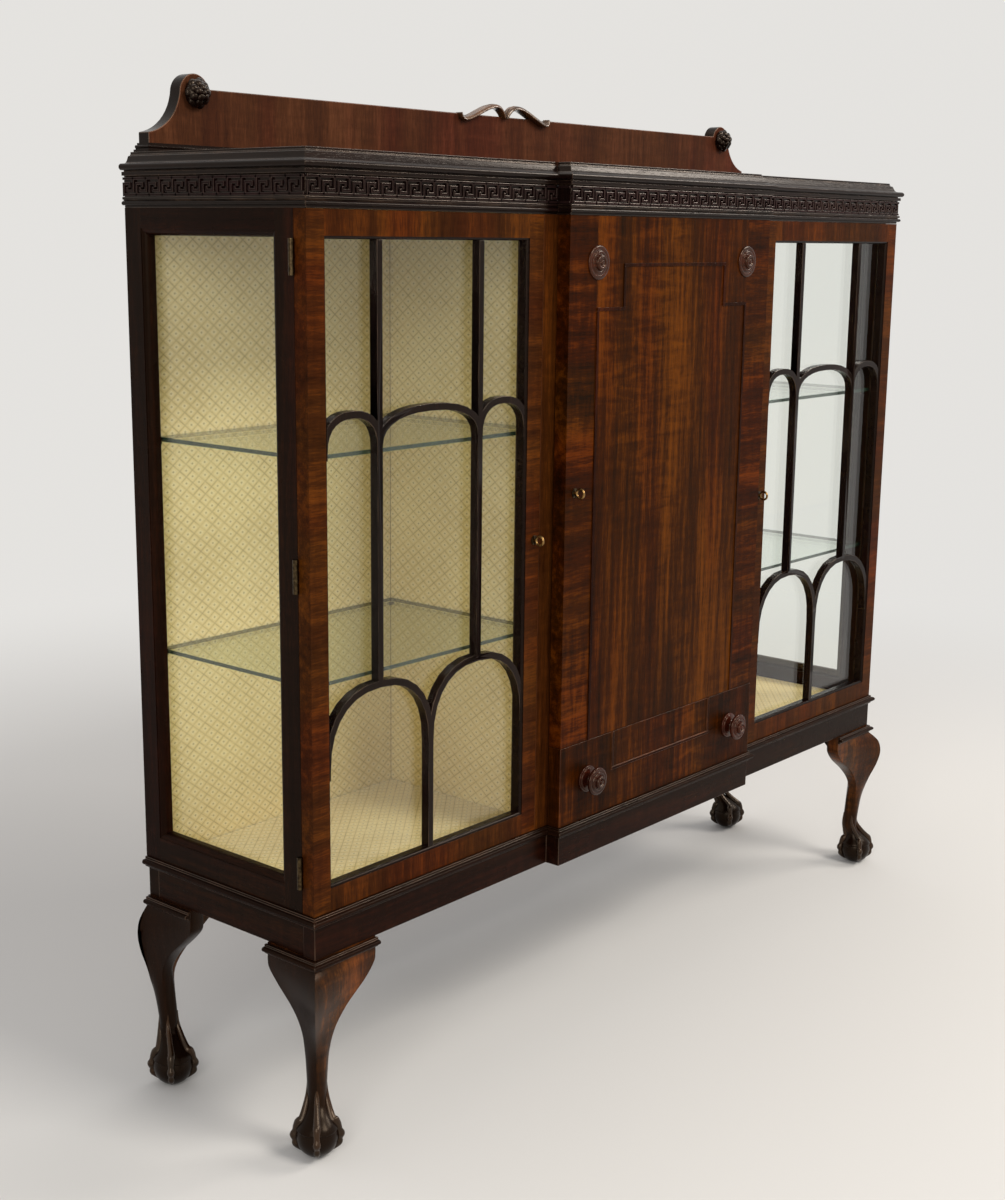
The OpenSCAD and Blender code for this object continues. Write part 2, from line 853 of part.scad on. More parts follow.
// A rear leg's knee turns outwards to the side only, and its back is flat
module rear_leg() {
    intersection() {
        mirror([0, 1, 0])
            leg(rear_foot_in);
        translate([-body_w / 2, -body_w, 0])
            cube([body_w, body_w, leg_h]);
    }
}

module front_right_leg() {
    color(mahogany)
        place()
            translate([half_w, 0, 0])
                leg(foot_in);
}

module front_left_leg() {
    color(mahogany)
        place()
            flip()
                translate([half_w, 0, 0])
                    leg(foot_in);
}

module rear_right_leg() {
    color(dark_mahogany)
        place()
            translate([half_w, body_d, 0])
                rear_leg();
}

module rear_left_leg() {
    color(dark_mahogany)
        place()
            flip()
                translate([half_w, body_d, 0])
                    rear_leg();
}

// Profile of a small moulding: a half-round nose on a flat strip that stands out by foot
module nose_profile(low, high, out, foot) {
    nose = (high - low) / 4;
    union() {
        square_from([0, low], [foot, high]);
        square_from([0, low + nose], [out - nose, low + 3 * nose]);
        translate([out - nose, low + 2 * nose])
            circle(r = nose);
    }
}

// Gap between a leg's capital and the apron above it
capital_drop = 1;

module leg_capitals() {
    high = leg_h - capital_drop;
    low = high - capital_h;
    foot = capital_out * 0.45;
    front = [[half_w - bracket_front, 0], [half_w, 0], [half_w, bracket_side]];
    rear = [[half_w, body_d - bracket_side], [half_w, body_d]];
    color(mahogany)
        place()
            both() {
                moulding(front, [0, 1, 0], 0, capital_out, low, high)
                    nose_profile(low, high, capital_out, foot);
                moulding(rear, [0, 0], 0, capital_out, low, high)
                    nose_profile(low, high, capital_out, foot);
            }
}

// ---- Case ----

// Depth of the waist moulding behind the case's faces
waist_back = 5;
waist_foot_out = 3;

module waist_moulding() {
    color(mahogany)
        place()
            moulding(case_path(body_d), case_turns, -waist_back, waist_out, floor_z, case_z)
                translate([-waist_back, 0])
                    nose_profile(floor_z, case_z, waist_out + waist_back, waist_back + waist_foot_out);
}

// A flat rectangle between two opposite corners
module square_from(low, high) {
    translate(low)
        square(high - low);
}

module floor_board() {
    color("#6b4524")
        place()
            translate([0, 0, floor_z])
                linear_extrude(waist_h)
                    case_plan(waist_back, body_d);
}

module side_peg_holes() {
    for (y = peg_ys, h = [low_shelf_h, high_shelf_h])
        rod_x([inner_w - over, y, case_z + h - peg_r - hole_fit], peg_r + hole_fit, peg_l + over);
}

peg_front = case_y + 15;
peg_rear = back_y - lining_t - peg_r - shelf_gap / 2;
peg_ys = [peg_front, peg_rear];

module right_side_frame() {
    color(dark_mahogany)
        place()
            right_side_frame_shape();
}

module left_side_frame() {
    color(dark_mahogany)
        place()
            flip()
                right_side_frame_shape();
}

module side_glass() {
    color(glass_tint)
        place()
            both()
                right_side_place()
                    pane(side_frame_w, case_h, side_stile_front, side_rail_top, side_stile_rear,
                        side_rail_low, side_recess);
}

module side_glass_beads() {
    color(dark_mahogany)
        place()
            both()
                right_side_place()
                    pane_beads(side_frame_w, case_h, side_stile_front, side_rail_top,
                        side_stile_rear, side_rail_low, side_t, side_recess + glass_t);
}

module partitions() {
    color("#6b4524")
        place()
            both()
                difference() {
                    block([partition_in, case_y, case_z], [partition_out, back_y, case_top]);
                    for (y = peg_ys) {
                        for (h = [low_shelf_h, high_shelf_h])
                            rod_x([partition_out - peg_l, y, case_z + h - peg_r - hole_fit],
                                peg_r + hole_fit, peg_l + over);
                        for (h = [low_board_h, high_board_h])
                            rod_x([partition_in - over, y, case_z + h - peg_r - hole_fit],
                                peg_r + hole_fit, peg_l + over);
                    }
                }
}

module right_post_shape() {
    difference() {
        block([post_in, 0, case_z], [post_out, case_y, case_top]);
        right_side_lock_place()
            lock_pocket_cut();
    }
}

module posts() {
    color(mahogany)
        place() {
            difference() {
                right_post_shape();
                for (z = centre_hinge_heights)
                    translate([centre_pin_x, centre_pin_y, z])
                        centre_fixed_leaf_cut();
            }
            difference() {
                flip() right_post_shape();
                centre_lock_place()
                    lock_pocket_cut();
            }
        }
}

module back_panel() {
    color("#6b4524")
        place()
            block([-inner_w, back_y, case_z], [inner_w, back_y + back_t, case_top]);
}

module drawer_divider() {
    color("#6b4524")
        place()
            translate([0, 0, drawer_top - board_t / 2])
                linear_extrude(board_t)
                    polygon([[-post_in, 0], [post_in, 0], [post_in, case_y], [partition_in, case_y],
                        [partition_in, back_y], [-partition_in, back_y], [-partition_in, case_y],
                        [-post_in, case_y]]);
}

module drawer_runners() {
    color("#8a6238")
        place()
            both()
                block([partition_in - runner_w, case_y, case_z], [partition_in, back_y, case_z + runner_h]);
}

module ceiling_board() {
    color("#6b4524")
        place()
            translate([0, 0, case_top])
                linear_extrude(board_t)
                    case_plan(frieze_t, back_y + back_t);
}

module frieze_board() {
    color(mahogany)
        place()
            moulding(case_path(body_d), case_turns, -frieze_t, 0, case_top, cornice_z)
                square_from([-frieze_t, case_top], [0, cornice_z]);
}

// Bead and fillet along the foot of the frieze
bead_z = 3;
module frieze_bead() {
    color(dark_mahogany)
        place()
            moulding(case_path(body_d), case_turns, 0, 2 * bead_r, case_top, cornice_z)
                translate([0, case_top + bead_z])
                    bead_profile();
}

bead_r = 2.5;
bead_quirk = 1.6;
bead_web_out = 1.2;
bead_fillet_out = 3.5;
module bead_profile() {
    union() {
        square_from([0, 0], [bead_r, 2 * bead_r]);
        translate([bead_r, bead_r])
            circle(r = bead_r);
        square_from([0, bead_r], [bead_web_out, 4 * bead_r]);
        square_from([0, 2 * bead_r + bead_quirk], [bead_fillet_out, 4 * bead_r]);
    }
}

torus_r = 4;
torus_z = 11.5;
fillet_z = 1.2;
fillet_h = 4.7;
fillet_out = 3.5;
cove_z = 19;
cove_in = 5;
step_z = 25;
step_in = 8;
rim_in = 11;
module cornice_profile() {
    union() {
        square_from([-frieze_t, 0], [0, torus_z + torus_r]);
        square_from([-1, fillet_z], [fillet_out, fillet_z + fillet_h]);
        square_from([-1, torus_z - torus_r], [torus_out - torus_r, torus_z + torus_r]);
        translate([torus_out - torus_r, torus_z])
            circle(r = torus_r);
        polygon([[-frieze_t, torus_z + torus_r - over], [0, torus_z + torus_r - over], [0, torus_z + torus_r],
            [-cove_in * 0.6, torus_z + torus_r + 1], [-cove_in, cove_z], [-step_in + 1, step_z - 1],
            [-step_in, step_z], [-rim_in + 1, step_z], [-rim_in + 1, step_z + 1.5],
            [-rim_in, step_z + 1.5], [-rim_in, cornice_h], [-frieze_t, cornice_h]]);
    }
}

module cornice() {
    color(dark_mahogany)
        place()
            moulding(case_path(body_d), case_turns, -frieze_t, torus_out, cornice_z, top_z)
                translate([0, cornice_z])
                    cornice_profile();
}

module top_board() {
    color(mahogany)
        place()
            translate([0, 0, top_z - top_t])
                linear_extrude(top_t)
                    case_plan(frieze_t, body_d);
}

// ---- Gallery ----

gallery_half = half_w - gallery_inset;
gallery_y = body_d - gallery_t;
scroll_x = gallery_half - scroll_in;

// Direction above the level in which a scroll meets the hollow curve, and how deep they overlap
hollow_turn = 7;
hollow_bite = 0.2;
// Dip in the board's top edge where a crest leaf ends, as shares of its half length and heights
crest_scoop = [[0.66, 1], [0.75, -1], [0.9, -6], [0.97, -9.5], [1.01, -7], [1.04, 1]];

module gallery_outline() {
    reach = scroll_r + hollow_r - hollow_bite;
    difference() {
        union() {
            square_from([-scroll_x, 0], [scroll_x, gallery_h]);
            square_from([-gallery_half, 0], [gallery_half, scroll_z + scroll_r * sin(hollow_turn)]);
            for (x = [-scroll_x, scroll_x])
                translate([x, scroll_z])
                    circle(r = scroll_r);
        }
        both() {
            translate([scroll_x + reach * cos(hollow_turn), scroll_z + reach * sin(hollow_turn)])
                circle(r = hollow_r);
            translate([0, gallery_h])
                polygon([for (p = crest_scoop) [p[0] * crest_half_l, p[1]]]);
        }
    }
}

module gallery_board() {
    color(mahogany)
        place()
            translate([0, 0, top_z])
                plate(gallery_y, gallery_t)
                    gallery_outline();
}

// Moulding along the gallery's foot: a plinth, a step, a half-round bead and a strip above it
gallery_foot_out = 8;
gallery_foot_h = 11;
gallery_bead_r = 2;

module gallery_profile() {
    plinth = gallery_foot_h * 0.27;
    step = plinth * 1.5;
    bead_out = gallery_foot_out / 2;
    union() {
        square_from([0, 0], [gallery_foot_out, plinth]);
        square_from([0, plinth], [gallery_foot_out * 0.62, step]);
        square_from([0, step], [bead_out, step + 2 * gallery_bead_r]);
        translate([bead_out, step + gallery_bead_r])
            circle(r = gallery_bead_r);
        square_from([0, step + 2 * gallery_bead_r], [gallery_foot_out * 0.31, gallery_foot_h]);
    }
}

module gallery_moulding() {
    path = [[-gallery_half, body_d], [-gallery_half, gallery_y], [gallery_half, gallery_y],
        [gallery_half, body_d]];
    color(dark_mahogany)
        place()
            moulding(path, [0, 1, 1, 0], 0, gallery_foot_out, top_z, top_z + gallery_foot_h)
                translate([0, top_z])
                    gallery_profile();
}

// Two turned rosettes on the scrolls, and a carved crest at the middle
module gallery_carvings() {
    color(dark_mahogany)
        place() {
            both()
                translate([scroll_x, gallery_y, top_z + scroll_z])
                    rotate([90, 0, 0])
                        rosette();
            translate([0, 0, top_z + gallery_h])
                plate(gallery_y - crest_t, crest_t)
                    crest_outline();
        }
}

// Steps of a rosette, as shares of its diameter and of how far it stands out
rosette_steps = [[0.5, 0.35], [0.46, 0.6], [0.36, 0.8], [0.2, 1]];

module rosette() {
    rotate_extrude()
        union()
            for (step = rosette_steps)
                square_from([0, 0], [rosette_d * step[0], rosette_out * step[1]]);
}

// Right half of the crest's outline from its middle, as shares of its half length and heights
crest_top = [[0, 9], [0.14, 13], [0.25, 15.5], [0.45, 11], [0.75, 3], [1, -8]];
crest_foot = [[0.97, -13], [0.7, -7], [0.45, -3], [0.2, -1], [0, -5]];

module crest_outline() {
    half = concat(crest_top, crest_foot);
    polygon(concat([for (p = half) [p[0] * crest_half_l, p[1]]],
        [for (i = [len(half) - 2:-1:1]) [-half[i][0] * crest_half_l, half[i][1]]]));
}

// ---- Linings, shelves and pegs ----

module right_lining_shape() {
    z = case_z + lining_t;
    block([partition_out + lining_t + glue, case_y, case_z], [inner_w, back_y - lining_t - glue, z]);
    block([partition_out + lining_t + glue, back_y - lining_t, case_z], [inner_w, back_y, case_top]);
    difference() {
        block([partition_out, case_y, case_z], [partition_out + lining_t, back_y, case_top]);
        for (y = peg_ys, h = [low_shelf_h, high_shelf_h])
            rod_x([partition_out - over, y, case_z + h - peg_r - hole_fit],
                peg_r + hole_fit, lining_t + 2 * over);
    }
}

module right_lining() {
    color(pale_cloth)
        place()
            right_lining_shape();
}

module left_lining() {
    color(pale_cloth)
        place()
            flip()
                right_lining_shape();
}

module glass_shelves() {
    color(glass_tint)
        place()
            both()
                for (h = [low_shelf_h, high_shelf_h])
                    block([partition_out + lining_t + shelf_gap, case_y + shelf_gap, case_z + h],
                        [inner_w - shelf_gap, back_y - lining_t - shelf_gap, case_z + h + shelf_glass_t]);
}

module wooden_shelves() {
    color("#6b4524")
        place()
            for (h = [low_board_h, high_board_h])
                block([-partition_in + shelf_gap, case_y + shelf_gap, case_z + h],
                    [partition_in - shelf_gap, back_y - shelf_gap, case_z + h + shelf_board_t]);
}

module shelf_pegs() {
    color(brass)
        place()
            both()
                for (y = peg_ys) {
                    for (h = [low_shelf_h, high_shelf_h]) {
                        z = case_z + h - peg_r - hole_fit;
                        rod_x([inner_w - peg_l, y, z], peg_r, 2 * peg_l);
                        rod_x([partition_out - peg_l, y, z], peg_r, 2 * peg_l);
                    }
                    for (h = [low_board_h, high_board_h])
                        rod_x([partition_in - peg_l, y, case_z + h - peg_r - hole_fit], peg_r, 2 * peg_l);
                }
}

// ---- Glazed doors ----

module door_place() {
    translate([door_x, 0, door_z])
        children();
}

module right_side_lock_place() {
    translate([side_key_x, lock_front, side_key_z])
        children();
}

module right_door_frame_shape() {
    difference() {
        door_place()
            for (side = [0:3])
                frame_piece(side, door_w, door_h, stile_w, rail_w, stile_w, rail_w, door_t,
                    door_stick, door_recess);
        for (z = hinge_heights)
            translate([side_pin_x, side_pin_y, z])
                side_moving_leaf_cut();
        right_side_lock_place() {
            keyhole_cut(lock_front);
            block([-lock_half - hole_fit, 0, -lock_h / 2 - hole_fit],
                [lock_half + hole_fit, door_t, lock_h / 2 + hole_fit]);
            lock_pocket_cut();
        }
    }
}

module right_door_frame() {
    color(mahogany)
        place()
            right_door_frame_shape();
}

module left_door_frame() {
    color(mahogany)
        place()
            flip()
                right_door_frame_shape();
}

// An arch whose curve follows a rounded square between an ellipse and a box
arch_steps = 14;
function arch_point(mid, half, top, rise, t) = [
    mid - half * sign(cos(t)) * pow(abs(cos(t)), 2 / arch_power),
    top - rise + rise * pow(abs(sin(t)), 2 / arch_power)];

module arch(mid, half, top, rise) {
    outer = [for (i = [0:arch_steps]) arch_point(mid, half + bar_half, top, rise, 180 * i / arch_steps)];
    inner = [for (i = [arch_steps:-1:0])
        arch_point(mid, half - bar_half, top - bar_w, rise - bar_w, 180 * i / arch_steps)];
    polygon(concat(outer, inner));
}

module upright(x, low, high) {
    square_from([x - bar_half, low], [x + bar_half, high]);
}

module right_door_bars_outline() {
    quarter = arch_span / 4;
    low_top = case_z + low_arch_top;
    mid_top = case_z + mid_arch_top;
    low_foot = low_top - low_arch_rise;
    mid_foot = mid_top - mid_arch_rise;
    top = case_top;
    intersection() {
        union() {
            for (k = [1, 3]) {
                upright(arch_left + k * quarter, low_top - bar_half, top);
                arch(arch_left + k * quarter, quarter, low_top, low_arch_rise);
            }
            upright(arch_left + 2 * quarter, case_z, low_foot + over);
            arch(arch_left + quarter / 2, quarter / 2, mid_top, mid_arch_rise);
            arch(arch_left + 2 * quarter, quarter, mid_top, mid_arch_rise);
            arch(arch_left + 3.5 * quarter, quarter / 2, mid_top, mid_arch_rise);
            for (x = [arch_left, arch_left + 4 * quarter])
                for (z = [low_foot, mid_foot])
                    upright(x, z - bar_w, z + over);
        }
        square_from([door_x + stile_w + door_stick, door_z + rail_w + door_stick],
            [half_w - stile_w - door_stick, door_z + door_h - rail_w - door_stick]);
    }
}

module right_door_bars() {
    color(dark_mahogany)
        place()
            plate(bar_drop, door_recess - bar_drop)
                right_door_bars_outline();
}

module left_door_bars() {
    color(dark_mahogany)
        place()
            flip()
                plate(bar_drop, door_recess - bar_drop)
                    right_door_bars_outline();
}

module right_door_pane() {
    door_place()
        pane(door_w, door_h, stile_w, rail_w, stile_w, rail_w, door_recess);
}

module right_door_glass() {
    color(glass_tint)
        place()
            right_door_pane();
}

module left_door_glass() {
    color(glass_tint)
        place()
            flip()
                right_door_pane();
}

module right_door_bead_strips() {
    door_place()
        pane_beads(door_w, door_h, stile_w, rail_w, stile_w, rail_w, door_t, door_recess + glass_t);
}

module right_door_beads() {
    color(dark_mahogany)
        place()
            right_door_bead_strips();
}

module left_door_beads() {
    color(dark_mahogany)
        place()
            flip()
                right_door_bead_strips();
}

// ---- Centre door and drawer ----

module centre_lock_place() {
    translate([centre_key_x, front_y + door_t, centre_key_z])
        children();
}

shoulder_z = case_top - panel_shoulder;
panel_top_z = case_top - panel_top;
panel_foot_z = case_z + panel_foot;
door_low = drawer_top + edge_gap;
door_high = case_top - edge_gap;
drawer_high = drawer_top - edge_gap;

// A level and an upright length of bead, whose place is its middle line
module level_bead(x0, x1, z) {
    block([x0 - bead_w / 2, front_y - bead_out, z - bead_w / 2],
        [x1 + bead_w / 2, front_y, z + bead_w / 2]);
}

module upright_bead(x, z0, z1) {
    block([x - bead_w / 2, front_y - bead_out, z0], [x + bead_w / 2, front_y, z1]);
}

module centre_door() {
    color(mahogany)
        place() {
            difference() {
                block([-half_c, front_y, door_low], [half_c, front_y + door_t, door_high]);
                centre_lock_place()
                    keyhole_cut(door_t);
                for (z = centre_hinge_heights)
                    translate([centre_pin_x, centre_pin_y, z])
                        centre_moving_leaf_cut();
                both()
                    rod_y([knob_x, front_y - over, case_top - roundel_drop],
                        tenon_d / 2 + hole_fit, door_t / 2 + over);
            }
            level_bead(-panel_neck_w, panel_neck_w, panel_top_z);
            both() {
                upright_bead(panel_neck_w, shoulder_z + bead_w / 2 + glue, panel_top_z - bead_w / 2 - glue);
                level_bead(panel_neck_w, panel_half_w, shoulder_z);
                upright_bead(panel_half_w, door_low, shoulder_z - bead_w / 2 - glue);
            }
        }
}

// A turned boss and its tenon. The axis is Z, and the boss stands on the plane z = 0.
module roundel() {
    rotate_extrude()
        union() {
            square_from([0, -door_t / 2 + 1], [tenon_d / 2, 0]);
            square_from([0, 0], [roundel_d / 2, roundel_out * 0.35]);
            square_from([0, 0], [roundel_d * 0.43, roundel_out * 0.65]);
            intersection() {
                translate([0, roundel_out - roundel_d * 0.6])
                    circle(r = roundel_d * 0.6);
                square_from([0, 0], [roundel_d * 0.36, roundel_out]);
            }
        }
}

module door_roundels() {
    color(dark_mahogany)
        place()
            both()
                translate([knob_x, front_y, case_top - roundel_drop])
                    rotate([90, 0, 0])
                        roundel();
}

module knob() {
    head = knob_out * 0.42;
    rotate_extrude()
        union() {
            square_from([0, -door_t / 2 + 1], [tenon_d / 2, 0]);
            square_from([0, 0], [knob_d * 0.4, knob_out * 0.14]);
            square_from([0, 0], [knob_d * 0.27, knob_out * 0.3]);
            square_from([0, 0], [knob_d * 0.22, knob_out * 0.7]);
            intersection() {
                translate([0, knob_out - head / 2])
                    square([knob_d, head], center = true);
                translate([knob_d / 2 - head / 2, knob_out - head / 2])
                    circle(r = head / 2);
            }
            square_from([0, knob_out - head], [knob_d / 2 - head / 2, knob_out - 2]);
            square_from([0, 0], [knob_d * 0.16, knob_out]);
        }
}

module drawer_front() {
    color(mahogany)
        place() {
            difference() {
                block([-half_c, front_y, case_z + edge_gap], [half_c, front_y + door_t, drawer_high]);
                both()
                    rod_y([knob_x, front_y - over, case_z + knob_z],
                        tenon_d / 2 + hole_fit, door_t / 2 + over);
            }
            level_bead(-panel_neck_w, panel_neck_w, panel_foot_z);
            both()
                upright_bead(panel_neck_w, panel_foot_z + bead_w / 2 + glue, drawer_high);
        }
}

drawer_head_gap = 3;
drawer_back_gap = 12;
groove_lift = 8;
groove_d = 6;
groove_fit = 1;
drawer_half = partition_in - drawer_gap;
drawer_low = case_z + runner_h + runner_gap;
drawer_side_top = drawer_top - board_t / 2 - drawer_head_gap;
drawer_back = back_y - drawer_back_gap;
drawer_front_y = front_y + door_t;
groove_z = drawer_low + groove_lift;

module drawer_box() {
    inner = drawer_half - drawer_side_t;
    wall = drawer_side_t;
    color("#8a6238")
        place()
            difference() {
                union() {
                    both()
                        block([inner, drawer_front_y, drawer_low],
                            [drawer_half, drawer_back, drawer_side_top]);
                    block([-inner + glue, drawer_front_y, drawer_low],
                        [inner - glue, drawer_front_y + wall, drawer_side_top]);
                    block([-inner + glue, drawer_back - wall, drawer_low],
                        [inner - glue, drawer_back, drawer_side_top]);
                }
                block([-inner - groove_d, drawer_front_y + wall - groove_d, groove_z],
                    [inner + groove_d, drawer_back - wall + groove_d,
                        groove_z + drawer_bottom_t + glue]);
            }
}

module drawer_bottom() {
    wall = drawer_side_t - groove_d + groove_fit;
    inner = drawer_half - wall;
    color("#8a6238")
        place()
            block([-inner, drawer_front_y + wall, groove_z],
                [inner, drawer_back - wall, groove_z + drawer_bottom_t]);
}

module drawer_knobs() {
    color(dark_mahogany)
        place()
            both()
                translate([knob_x, front_y, case_z + knob_z])
                    rotate([90, 0, 0])
                        knob();
}

// ---- Hinge leaves, locks and keys in place ----

module right_fixed_hinge(z) {
    translate([side_pin_x, side_pin_y, z]) {
        side_fixed_leaf();
        hinge_pin();
        translate([side_leaf_mid, door_gap / 2, 0])
            leaf_screws();
    }
}

module case_hinge_leaves() {
    color(brass)
        place() {
            both()
                for (z = hinge_heights)
                    right_fixed_hinge(z);
            for (z = centre_hinge_heights)
                translate([centre_pin_x, centre_pin_y, z]) {
                    centre_fixed_leaf();
                    hinge_pin();
                    translate([knuckle_r + leaf_w / 2, -centre_pin_y, 0])
                        leaf_screws();
                }
        }
}

module right_door_hinges() {
    for (z = hinge_heights)
        translate([side_pin_x, side_pin_y, z]) {
            side_moving_leaf();
            translate([side_leaf_mid, -door_gap / 2, 0])
                mirror([0, 1, 0])
                    leaf_screws();
        }
}

module right_door_leaves() {
    color(brass)
        place()
            right_door_hinges();
}

module left_door_leaves() {
    color(brass)
        place()
            flip()
                right_door_hinges();
}

module centre_door_leaves() {
    rear = min(centre_door_back - over, 0);
    color(brass)
        place()
            for (z = centre_hinge_heights)
                translate([centre_pin_x, centre_pin_y, z]) {
                    centre_moving_leaf();
                    translate([centre_edge_x, rear - centre_leaf_w / 2, 0])
                        rotate([0, 0, 90])
                            leaf_screws();
                }
}

module right_lock() {
    color(brass)
        place()
            right_side_lock_place() {
                lock_case();
                escutcheon(lock_front);
            }
}

module left_lock() {
    color(brass)
        place()
            flip()
                right_side_lock_place() {
                    lock_case();
                    escutcheon(lock_front);
                }
}

module centre_lock() {
    color(brass)
        place()
            centre_lock_place() {
                lock_case();
                escutcheon(door_t);
            }
}

module right_key() {
    color(brass)
        place()
            right_side_lock_place()
                key(lock_front);
}

module left_key() {
    color(brass)
        place()
            flip()
                right_side_lock_place()
                    key(lock_front);
}

module centre_key() {
    color(brass)
        place()
            centre_lock_place()
                key(door_t);
}

module right_bolt() {
    color(brass)
        place()
            right_side_lock_place()
                lock_bolt();
}

module left_bolt() {
    color(brass)
        place()
            flip()
                right_side_lock_place()
                    lock_bolt();
}

module centre_bolt() {
    color(brass)
        place()
            centre_lock_place()
                lock_bolt();
}

front_apron();
side_aprons();
back_apron();
corner_blocks();
front_left_leg();
front_right_leg();
rear_left_leg();
rear_right_leg();
leg_capitals();
waist_moulding();
floor_board();
left_side_frame();
right_side_frame();
side_glass();
side_glass_beads();
partitions();
posts();
back_panel();
drawer_divider();
drawer_runners();
ceiling_board();
frieze_board();
frieze_bead();
cornice();
top_board();
gallery_board();
gallery_moulding();
gallery_carvings();
left_lining();
right_lining();
glass_shelves();
wooden_shelves();
shelf_pegs();
left_door_frame();
right_door_frame();
left_door_bars();
right_door_bars();
left_door_glass();
right_door_glass();
left_door_beads();
right_door_beads();
centre_door();
door_roundels();
drawer_front();
drawer_box();
drawer_bottom();
drawer_knobs();
case_hinge_leaves();
left_door_leaves();
right_door_leaves();
centre_door_leaves();
left_lock();
right_lock();
centre_lock();
left_key();
right_key();
centre_key();
left_bolt();
right_bolt();
centre_bolt();
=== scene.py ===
"""Looks for the china cabinet: polished mahogany, glazed doors, fabric linings and brass, built
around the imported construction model."""

import json
import math
import random
import bmesh
import bpy
from mathutils import Matrix, Vector, noise


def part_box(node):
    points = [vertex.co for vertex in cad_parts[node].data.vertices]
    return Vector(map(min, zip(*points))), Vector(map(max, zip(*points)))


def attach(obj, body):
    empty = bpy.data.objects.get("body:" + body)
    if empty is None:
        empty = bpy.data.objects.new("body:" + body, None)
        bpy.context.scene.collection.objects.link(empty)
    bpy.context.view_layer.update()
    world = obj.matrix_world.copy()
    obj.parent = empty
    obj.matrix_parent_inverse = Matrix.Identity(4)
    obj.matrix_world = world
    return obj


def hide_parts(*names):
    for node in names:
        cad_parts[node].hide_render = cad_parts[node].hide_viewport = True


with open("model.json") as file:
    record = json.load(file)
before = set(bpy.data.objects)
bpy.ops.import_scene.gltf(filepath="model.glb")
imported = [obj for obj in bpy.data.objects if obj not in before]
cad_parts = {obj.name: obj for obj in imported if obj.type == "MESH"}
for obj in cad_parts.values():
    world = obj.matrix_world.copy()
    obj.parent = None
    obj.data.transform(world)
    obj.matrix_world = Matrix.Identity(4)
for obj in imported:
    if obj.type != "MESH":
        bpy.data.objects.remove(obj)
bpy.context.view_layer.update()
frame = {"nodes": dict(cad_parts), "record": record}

nodes = frame["nodes"]
body_of_node = {n: b for b, names in frame["record"]["behaviour"]["bodies"].items() for n in names}
slot_of_node = {p["node"]: p["material_slot"] for p in frame["record"]["subparts"]}


# ---- Camera, lamps and floor ----

# The photograph's viewpoint, solved from points on the cabinet, in metres, degrees and millimetres
CAMERA_PLACE = (-1.9996, -1.5257, 1.1143)
CAMERA_TURN, CAMERA_DIP, CAMERA_ROLL = -49.96, 12.113, 0.684
CAMERA_LENS, CAMERA_SENSOR, CAMERA_REACH = 50.9, 36.0, 60.0

# Each lamp's name, place, size, power, colour and the point it faces
LAMPS = [("window", (0.5, -3.9, 4.0), (1.8, 1.8), 150, (1.0, 0.96, 0.90), (0.1, 0, 0.7)),
         ("fill", (-3.4, -2.0, 2.1), (2.0, 2.2), 62, (1.0, 0.98, 0.95), (-0.4, 0, 0.7)),
         ("edge", (2.8, -1.9, 2.9), (1.6, 0.9), 64, (1.0, 0.94, 0.87), (0, 0, 1.0)),
         ("above", (0.2, 0.6, 3.4), (2.4, 1.6), 20, (1.0, 0.98, 0.95), (0, 0, 0.8))]

BACKGROUND = (0.78, 0.765, 0.74, 1)
AMBIENT, AMBIENT_STRENGTH = (0.97, 0.97, 1.0, 1), 0.42
FLOOR_DARK, FLOOR_PALE = (0.66, 0.645, 0.62, 1), (0.70, 0.685, 0.66, 1)
FLOOR_RADIUS = 14.0
# How far from the cabinet's middle the floor starts and ends its fade into the background
FADE_FROM, FADE_TO = 1.0, 3.0


def add_camera():
    """A pinhole camera in front of the cabinet's left corner."""
    data = bpy.data.cameras.new("camera")
    data.sensor_fit = "VERTICAL"
    data.sensor_height = CAMERA_SENSOR
    data.lens = CAMERA_LENS
    data.clip_end = CAMERA_REACH
    camera = bpy.data.objects.new("camera", data)
    turn = (Matrix.Rotation(math.radians(CAMERA_TURN), 4, "Z")
            @ Matrix.Rotation(math.radians(90 - CAMERA_DIP), 4, "X")
            @ Matrix.Rotation(math.radians(CAMERA_ROLL), 4, "Z"))
    camera.matrix_world = Matrix.Translation(CAMERA_PLACE) @ turn
    bpy.context.scene.collection.objects.link(camera)
    bpy.context.scene.camera = camera


def add_lamp(name, place, size, power, colour, target):
    """A rectangular soft lamp."""
    data = bpy.data.lights.new(name, "AREA")
    data.shape = "RECTANGLE"
    data.size, data.size_y = size
    data.energy = power
    data.color = colour
    lamp = bpy.data.objects.new(name, data)
    lamp.location = place
    lamp.rotation_euler = (Vector(target) - Vector(place)).to_track_quat("-Z", "Y").to_euler()
    bpy.context.scene.collection.objects.link(lamp)


def seen_rays(tree):
    """1 on the rays that see a surface straight, in a mirror or through glass, else 0."""
    path = tree.nodes.new("ShaderNodeLightPath")
    seen = path.outputs["Is Camera Ray"]
    for ray in ("Is Glossy Ray", "Is Transmission Ray"):
        most = tree.nodes.new("ShaderNodeMath")
        most.operation = "MAXIMUM"
        tree.links.new(seen, most.inputs[0])
        tree.links.new(path.outputs[ray], most.inputs[1])
        seen = most.outputs[0]
    return seen


